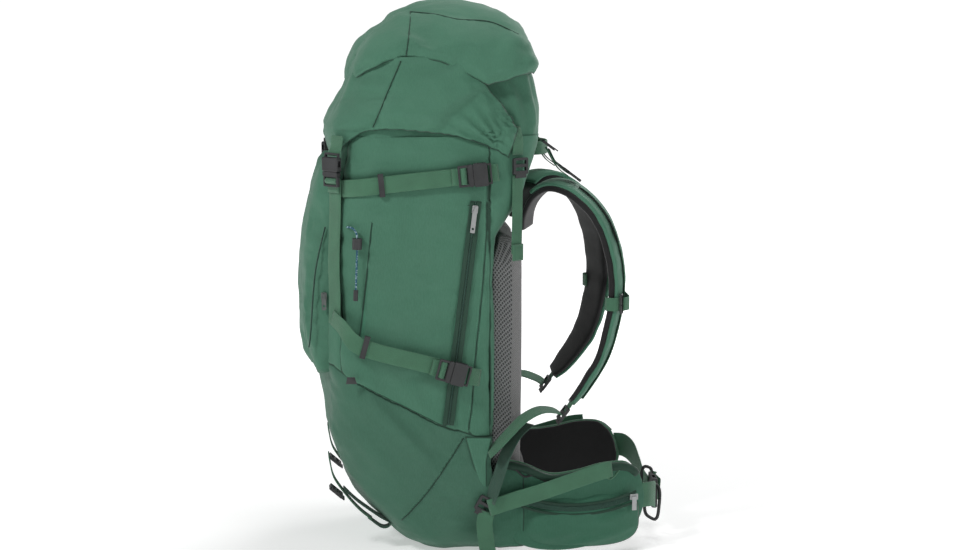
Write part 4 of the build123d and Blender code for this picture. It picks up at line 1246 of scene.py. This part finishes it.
def hip_pockets():
    """The puffed pocket on each wing, with its zip's coil and lips along a smile."""
    middle = (HIP_REAR + HIP_FRONT) / 2
    along = unit((HIP_FRONT - HIP_REAR)[None])[0]
    out = np.array([along[1], -along[0], 0])

    def bulge(x, z):
        smile = np.hypot(middle[1] + x * along[1] - ZIP_SMILE_Y, HIP_POCKET_Z + z - ZIP_SMILE_Z) - ZIP_SMILE_R
        folds = slanted_noise(x + z * 1.4, z - x * 0.3, x * 0, (46, 12, 9), 111)
        return 3.4 * bell(z + 12, 22) - 4.6 * bell(smile, 4.6) + 2.2 * folds * (1 - bell(smile, 9.0))

    def pocket(name, sign):
        mirror = np.array([sign, 1, 1])
        origin = (middle + [0, 0, HIP_POCKET_Z] - out * 12) * mirror
        return pillow(name, origin, along * mirror, out * mirror, 178, 88, 27, 12.5, HIP, bulge)
    both_sides(pocket, "hip_pocket", "bag", "pocket_cloth", "hip_pocket_{}")
    points = []
    for turn in np.radians(np.linspace(-22, 22, 16)):
        share = (ZIP_SMILE_Y + ZIP_SMILE_R * math.sin(turn) - middle[1]) / along[1]
        point = middle + along * share - out * 0.75
        points.append((point[0], point[1], ZIP_SMILE_Z - ZIP_SMILE_R * math.cos(turn)))
    strap_pair("hip_zip", points, UP, 8.0, 1.0, "bag", material=TAPE, slot="zip_tape")
    for label, shift in (("upper", 6.8), ("lower", -8.6)):
        lip = [(x + out[0] * 2.0, y, z + shift) for x, y, z in points]
        strap_pair(f"hip_zip_{label}_lip", lip, UP, 4.0, 1.5, "bag", material=HIP, slot="pocket_cloth")


def hip_root(name, sign):
    """The cloth that joins a wing to the bag."""
    y, z = coons([(36, 16), (60, 12), (96, 16)], [(36, 104), (60, 132), (96, 138)], [(36, 16), (36, 104)],
                 [(96, 16), (96, 138)], 26, 24)
    x = np.interp(y, [36, 60, 96], [165, 161, 160]) - 12 * ((z - 76) / 62) ** 4
    grid = mirror_grid(np.dstack([x, y, z]), sign)
    return thicken(cloth_panel(name, grid, HIP, puff=1.5, crease=1.4, seed=131), 1.5)


def hip_belt():
    """The wings, their pockets and roots, and the webbing that joins them."""
    hip_wings()
    hip_pockets()
    strap = [(176.5, 42, 80), (178.5, 52, 83), (178, 68, 88), (177, 90, 94), (175, 120, 102), (171, 160, 114),
             (166, 205, 127), (159, 228, 131)]
    strap_pair("stabiliser", strap, UP, 25, 1.6, "bag", "stabiliser_straps", wobble=0.3)
    tail = [(175.5, 40, 74), (176, 36, 58), (174, 38, 34), (171, 42, 8)]
    strap_pair("stabiliser_tail", tail, (0, 1, 0.2), 24, 1.5, "bag")
    both_sides(hip_root, "hip_root", "bag", "shell_cloth")
    right = [(132, 276, 82), (125, 290, 82), (108, 300, 78), (90, 305, 70), (74, 307.6, 66)]
    left = [(-134, 276, 98), (-125, 290, 98), (-100, 301, 90), (-60, 305, 74), (-24, 304.8, 66),
            (26, 304.8, 66)]
    slack = [(24, 310.6, 68), (6, 312.4, 68), (-8, 315, 66), (0, 320, 63), (18, 325, 60)]
    put(webbing("belt_web_right", right, UP, 38, 1.8), "bag", "webbing", "hip_webbing_right")
    put(webbing("belt_web_left", left, UP, 38, 1.8), "bag", "webbing", "hip_webbing_left")
    put(webbing("belt_tail", slack, UP, 37, 1.7), "belt_prong", "webbing")
    turn = np.linspace(0.2, 0.2 + 2 * math.pi, 40)
    a, b = squared(np.cos(turn), 0.55) * 13, squared(np.sin(turn), 0.55) * 27
    rings = (("belt_ring", "bag", (72, 304, 57), 0.35, 1.0),
             ("belt_triglide", "belt_prong", (-12, 309, 70), 0.1, 0.72))
    for name, body, centre, lean, scale in rings:
        loop = centre + scale * np.column_stack([a * 0.55, a * 0.75 + b * 0.08, b - a * lean])
        put(tube(name, loop, 2.6, PLASTIC, 3), body, "buckle_plastic")


# ---------------------------------------------------------------- shoulder harness

# Stations of the shoulder strap from its top to its foot: middle of its section, width, thickness
STRAP = np.array([
    (58, 107.5, 483, 62, 12), (60, 109.5, 505, 64, 13), (66, 121, 531, 66, 15), (74, 143, 547, 68, 16),
    (82, 170, 543, 68, 17), (89, 197, 524, 67, 17), (94, 222, 490, 66, 17), (98, 238, 440, 66, 17),
    (98, 242, 390, 65, 17), (98, 235, 340, 63, 16), (102, 219, 290, 58, 15), (110, 188, 242, 46, 13),
    (114, 172, 224, 34, 11),
], float)
TWIST = (0.945, -0.327)     # the strap's width direction, which the sternum strap's pieces share
STERNUM_Z = 374


def strap_layer(name, sign, share, material, inset, start, puff):
    dense = curve_at(STRAP, np.linspace(start, len(STRAP) - 1, 400))
    run = measure(dense[:, :3])
    data = resample(dense, np.linspace(0, run[-1], int(run[-1] / 5) + 1), run)
    line = data[:, :3] * [sign, 1, 1]
    side, out = frames_along(line, (TWIST[0] * sign, TWIST[1], 0))
    width, thick = data[:, 3] - 2 * inset, data[:, 4]
    form = (36, 0.35, 0.6, 0.7, lambda sine: sine > 0, 0.8, (40, 15, 15), 121)
    return padded_layer(name, line, side, out * sign, width, thick, share, form, material, puff)


def strap_face(first, last, count, lift):
    """Points along the outer face of the right shoulder strap between two station numbers."""
    at = np.linspace(first, last, count)
    data, near, back = (curve_at(STRAP, at + shift) for shift in (0, 0.1, -0.1))
    tangent = unit((near - back)[:, :3] * [0, 1, 1])
    out = np.column_stack([np.zeros(count), -tangent[:, 2], tangent[:, 1]])
    return data[:, :3] + out * (data[:, 4] / 2 + lift)[:, None]


def sternum_point(along, out, z=STERNUM_Z):
    """A point beside the right shoulder strap, where the sternum strap crosses it."""
    return (98 + along * TWIST[0] - out * TWIST[1], 240.5 + along * TWIST[1] + out * TWIST[0], z)


def shoulder_harness():
    """The padded straps, the webbing along and below them, the load lifters and the sternum strap."""
    both_sides(lambda name, sign: strap_layer(name, sign, (-0.5, 0.12), PADDING, 0.0, 0.0, 0.0),
               "shoulder_foam", "harness", "dark_padding", "shoulder_strap_{}")
    both_sides(lambda name, sign: strap_layer(name, sign, (0.04, 0.5), SHELL, 0.4, 2.2, 1.2),
               "shoulder_facing", "harness", "shell_cloth")
    strap_pair("shoulder_web", strap_face(5.0, 11.3, 16, 1.6), ACROSS, 20, 1.6, "harness", "shoulder_webbing")
    strap_pair("shoulder_patch", strap_face(4.4, 6.6, 8, 1.2), ACROSS, 34, 1.4, "harness", material=SHELL,
               slot="shell_cloth")
    strap_pair("strap_foot", [(114, 174, 226), (115, 166, 214), (115, 160, 204)], ACROSS, 25, 1.6, "harness")
    lifter = [(84, 136, 604), (84, 143, 590), (84, 154, 573), (84, 168, 562)]
    crossing_pair("load_lifter", lifter, WEBBING, ("bag", "harness"), (0.084, 0.138, 0.602),
                  (0.084, 0.164, 0.566), "load_lifters")
    # The layer under the load lifter is drawn in the webbing with painted shade.
    under = [(84, 140, 602), (84, 149, 584), (84, 162, 570), (84, 180, 560)]
    crossing_pair("load_lifter_under", under, SHADED_WEBBING, ("bag", "harness"), (0.084, 0.14, 0.6),
                  (0.084, 0.17, 0.566))
    strap = [(116, 157, 206), (122, 146, 213), (140, 122, 218), (158, 96, 210), (172, 74, 193),
             (179, 56, 176), (177, 42, 162)]
    for sign, word in SIDES:
        band = webbing(f"lower_strap_harness_{word}", flip(strap, sign), (1, 0.3 * sign, -0.2), 25, 1.6)
        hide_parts("lower_straps")
        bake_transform(band)
    back = [(150, 104, 200), (164, 84, 186), (172, 68, 160), (177, 56, 126), (176, 48, 102), (173, 44, 90)]
    # The lower strap's return is drawn in the webbing with painted shade.
    strap_pair("lower_strap_return", back, (0.8, 0.6, 0), 24, 1.6, "bag", material=SHADED_WEBBING)
    wrap = [(16, -10.6), (29, -10.4), (35.2, -7), (35.6, 0), (35.2, 7), (30, 10.6), (12, 11.4)]
    strap_pair("sternum_wrap", [sternum_point(a, b) for a, b in wrap], UP, 20, 1.5, "harness")
    loop = []
    for turn in np.linspace(0, 2 * math.pi, 33):
        up = 13.5 * squared(math.sin(turn), 0.4)
        loop.append(sternum_point(27 + 7.0 * squared(math.cos(turn), 0.4), 13.6, STERNUM_Z + up))
    tube_pair("sternum_slide", loop, 1.9, PLASTIC, "harness", "buckle_plastic", 2, 8)
    right = [(130, 247), (116, 257.5), (70, 258.8), (34, 259.6)]
    left = [(-130, 246), (-116, 256.7), (-60, 256.7), (1, 256.7)]
    put(webbing("sternum_web_right", [(x, y, STERNUM_Z) for x, y in right], UP, 20), "harness", "webbing",
        "sternum_webbing")
    put(webbing("sternum_web_left", [(x, y, STERNUM_Z) for x, y in left], UP, 20), "harness", "webbing")


# ---------------------------------------------------------------- small parts

CAD_FINISHES = {
    PLASTIC: (
        "belt_buckle_female", "belt_buckle_male", "compression_females", "upper_male_right",
        "upper_male_left", "lower_male_right", "lower_male_left", "lid_buckle_females", "lid_male_right",
        "lid_male_left",
        "pack_ladder_locks", "shoulder_ladder_locks", "sternum_buckle_female", "sternum_buckle_male",
        "strap_keepers", "cord_lock", "cord_end",
    ),
    METAL: ("side_zip_slider_right", "side_zip_slider_left", "hip_zip_slider_right", "hip_zip_slider_left"),
    DULL_METAL: ("front_zip_slider",),
    ALUMINIUM: ("frame_stays",),
    SHEET_PLASTIC: ("frame_sheet",),
}
CORD_ROUTE = [(158, -161.3, 497), (162, -160, 497.6), (167, -157.6, 498), (172.4, -152, 496.4),
              (176, -148, 490), (176, -147.4, 480), (176, -148, 460), (176, -149, 435), (176, -150, 408)]


def small_parts():
    """Materials for the CAD pieces that are shown as they are, and the small side tag."""
    for material, names in CAD_FINISHES.items():
        for name in names:
            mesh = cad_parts[name].data
            mesh.materials.clear()
            mesh.materials.append(material)
    corners = [(177.2, -166, 270), (177.2, -150, 270), (177.2, -153, 280), (176.6, -164, 280)]
    tag = make_mesh("side_tag", corners, [(0, 1, 2, 3)], GREY_ELASTIC)
    put(thicken(tag, 1.0), "bag", "webbing")


def accessory_cord():
    """The elastic cord with its toggle: a free cord from its loop on the side seam down to its end."""
    curve = bpy.data.curves.new("accessory_cord", "CURVE")
    curve.dimensions = "3D"
    curve.bevel_depth = 0.0015
    curve.bevel_resolution = 3
    curve.materials.append(CORD)
    spline = curve.splines.new("NURBS")
    spline.points.add(len(CORD_ROUTE) - 1)
    for point, place in zip(spline.points, CORD_ROUTE):
        point.co = (*(v * MM for v in place), 1)
    spline.order_u = 3
    spline.use_endpoint_u = True
    line = link("accessory_cord", curve)
    put(line, "bag", "cord_braid", "accessory_cord")


# ---------------------------------------------------------------- camera, lights, floor

CAMERA_PLACE = (2.956, -0.201, 0.844)
CAMERA_TARGET = (0.0, 0.058, 0.401)
FLOOR = 9000
# The lamps: name, place in metres, watts, size in metres
LAMPS = (
    ("key", (1.35, -1.75, 2.3), 34, 0.5), ("fill", (2.4, 2.0, 1.1), 13, 1.4),
    ("top", (-0.2, 0.4, 2.6), 20, 0.9), ("rim", (-1.9, 1.6, 1.7), 26, 1.0),
)


def aim(thing, place, target):
    thing.location = place
    thing.rotation_mode = "QUATERNION"
    thing.rotation_quaternion = (Vector(target) - Vector(place)).to_track_quat("-Z", "Y")


def build_stage():
    """The camera, a pale floor that brightens into the backdrop, the studio's light and the lamps."""
    scene = bpy.context.scene
    camera = bpy.data.cameras.new("camera")
    camera.lens = 71.7
    scene.camera = link("camera", camera)
    aim(scene.camera, CAMERA_PLACE, CAMERA_TARGET)
    pale = Nodes("floor_pale")
    far = pale.node("VectorMath", {0: pale.coordinates()}, "Value", operation="LENGTH")
    glow = pale.mix(pale.ramp(far, (0.7, 1.9), (0.0, 1.0)), (0.42, 0.42, 0.42), (1.0, 1.0, 1.0))
    material = pale.finish((0.8, 0.8, 0.8), 0.9, Emission_Color=glow, Emission_Strength=1.0)
    corners = [(-FLOOR, -FLOOR, 0), (FLOOR, -FLOOR, 0), (FLOOR, FLOOR, 0), (-FLOOR, FLOOR, 0)]
    make_mesh("floor", corners, [(0, 1, 2, 3)], material)
    world = bpy.data.worlds.new("studio")
    world.use_nodes = True
    tree = world.node_tree
    background = tree.nodes["Background"]
    background.inputs[0].default_value = (1, 1, 1, 1)
    level = tree.nodes.new("ShaderNodeMapRange")
    level.inputs["To Min"].default_value = 0.17
    level.inputs["To Max"].default_value = 1.05
    tree.links.new(tree.nodes.new("ShaderNodeLightPath").outputs["Is Camera Ray"], level.inputs["Value"])
    tree.links.new(level.outputs["Result"], background.inputs[1])
    scene.world = world
    for name, place, power, size in LAMPS:
        light = bpy.data.lights.new(name, "AREA")
        light.energy = power
        light.size = size
        aim(link(name, light), place, (0, 0, 0.42))
    scene.view_settings.view_transform = "Standard"
    scene.view_settings.look = "None"


build_stage()
build_bag()
front_pocket()
side_pockets()
zip_parts()
lower_tier()
upper_tier()
back_system()
pack_straps()
buckle_wraps()
fins()
hip_belt()
shoulder_harness()
small_parts()
accessory_cord()
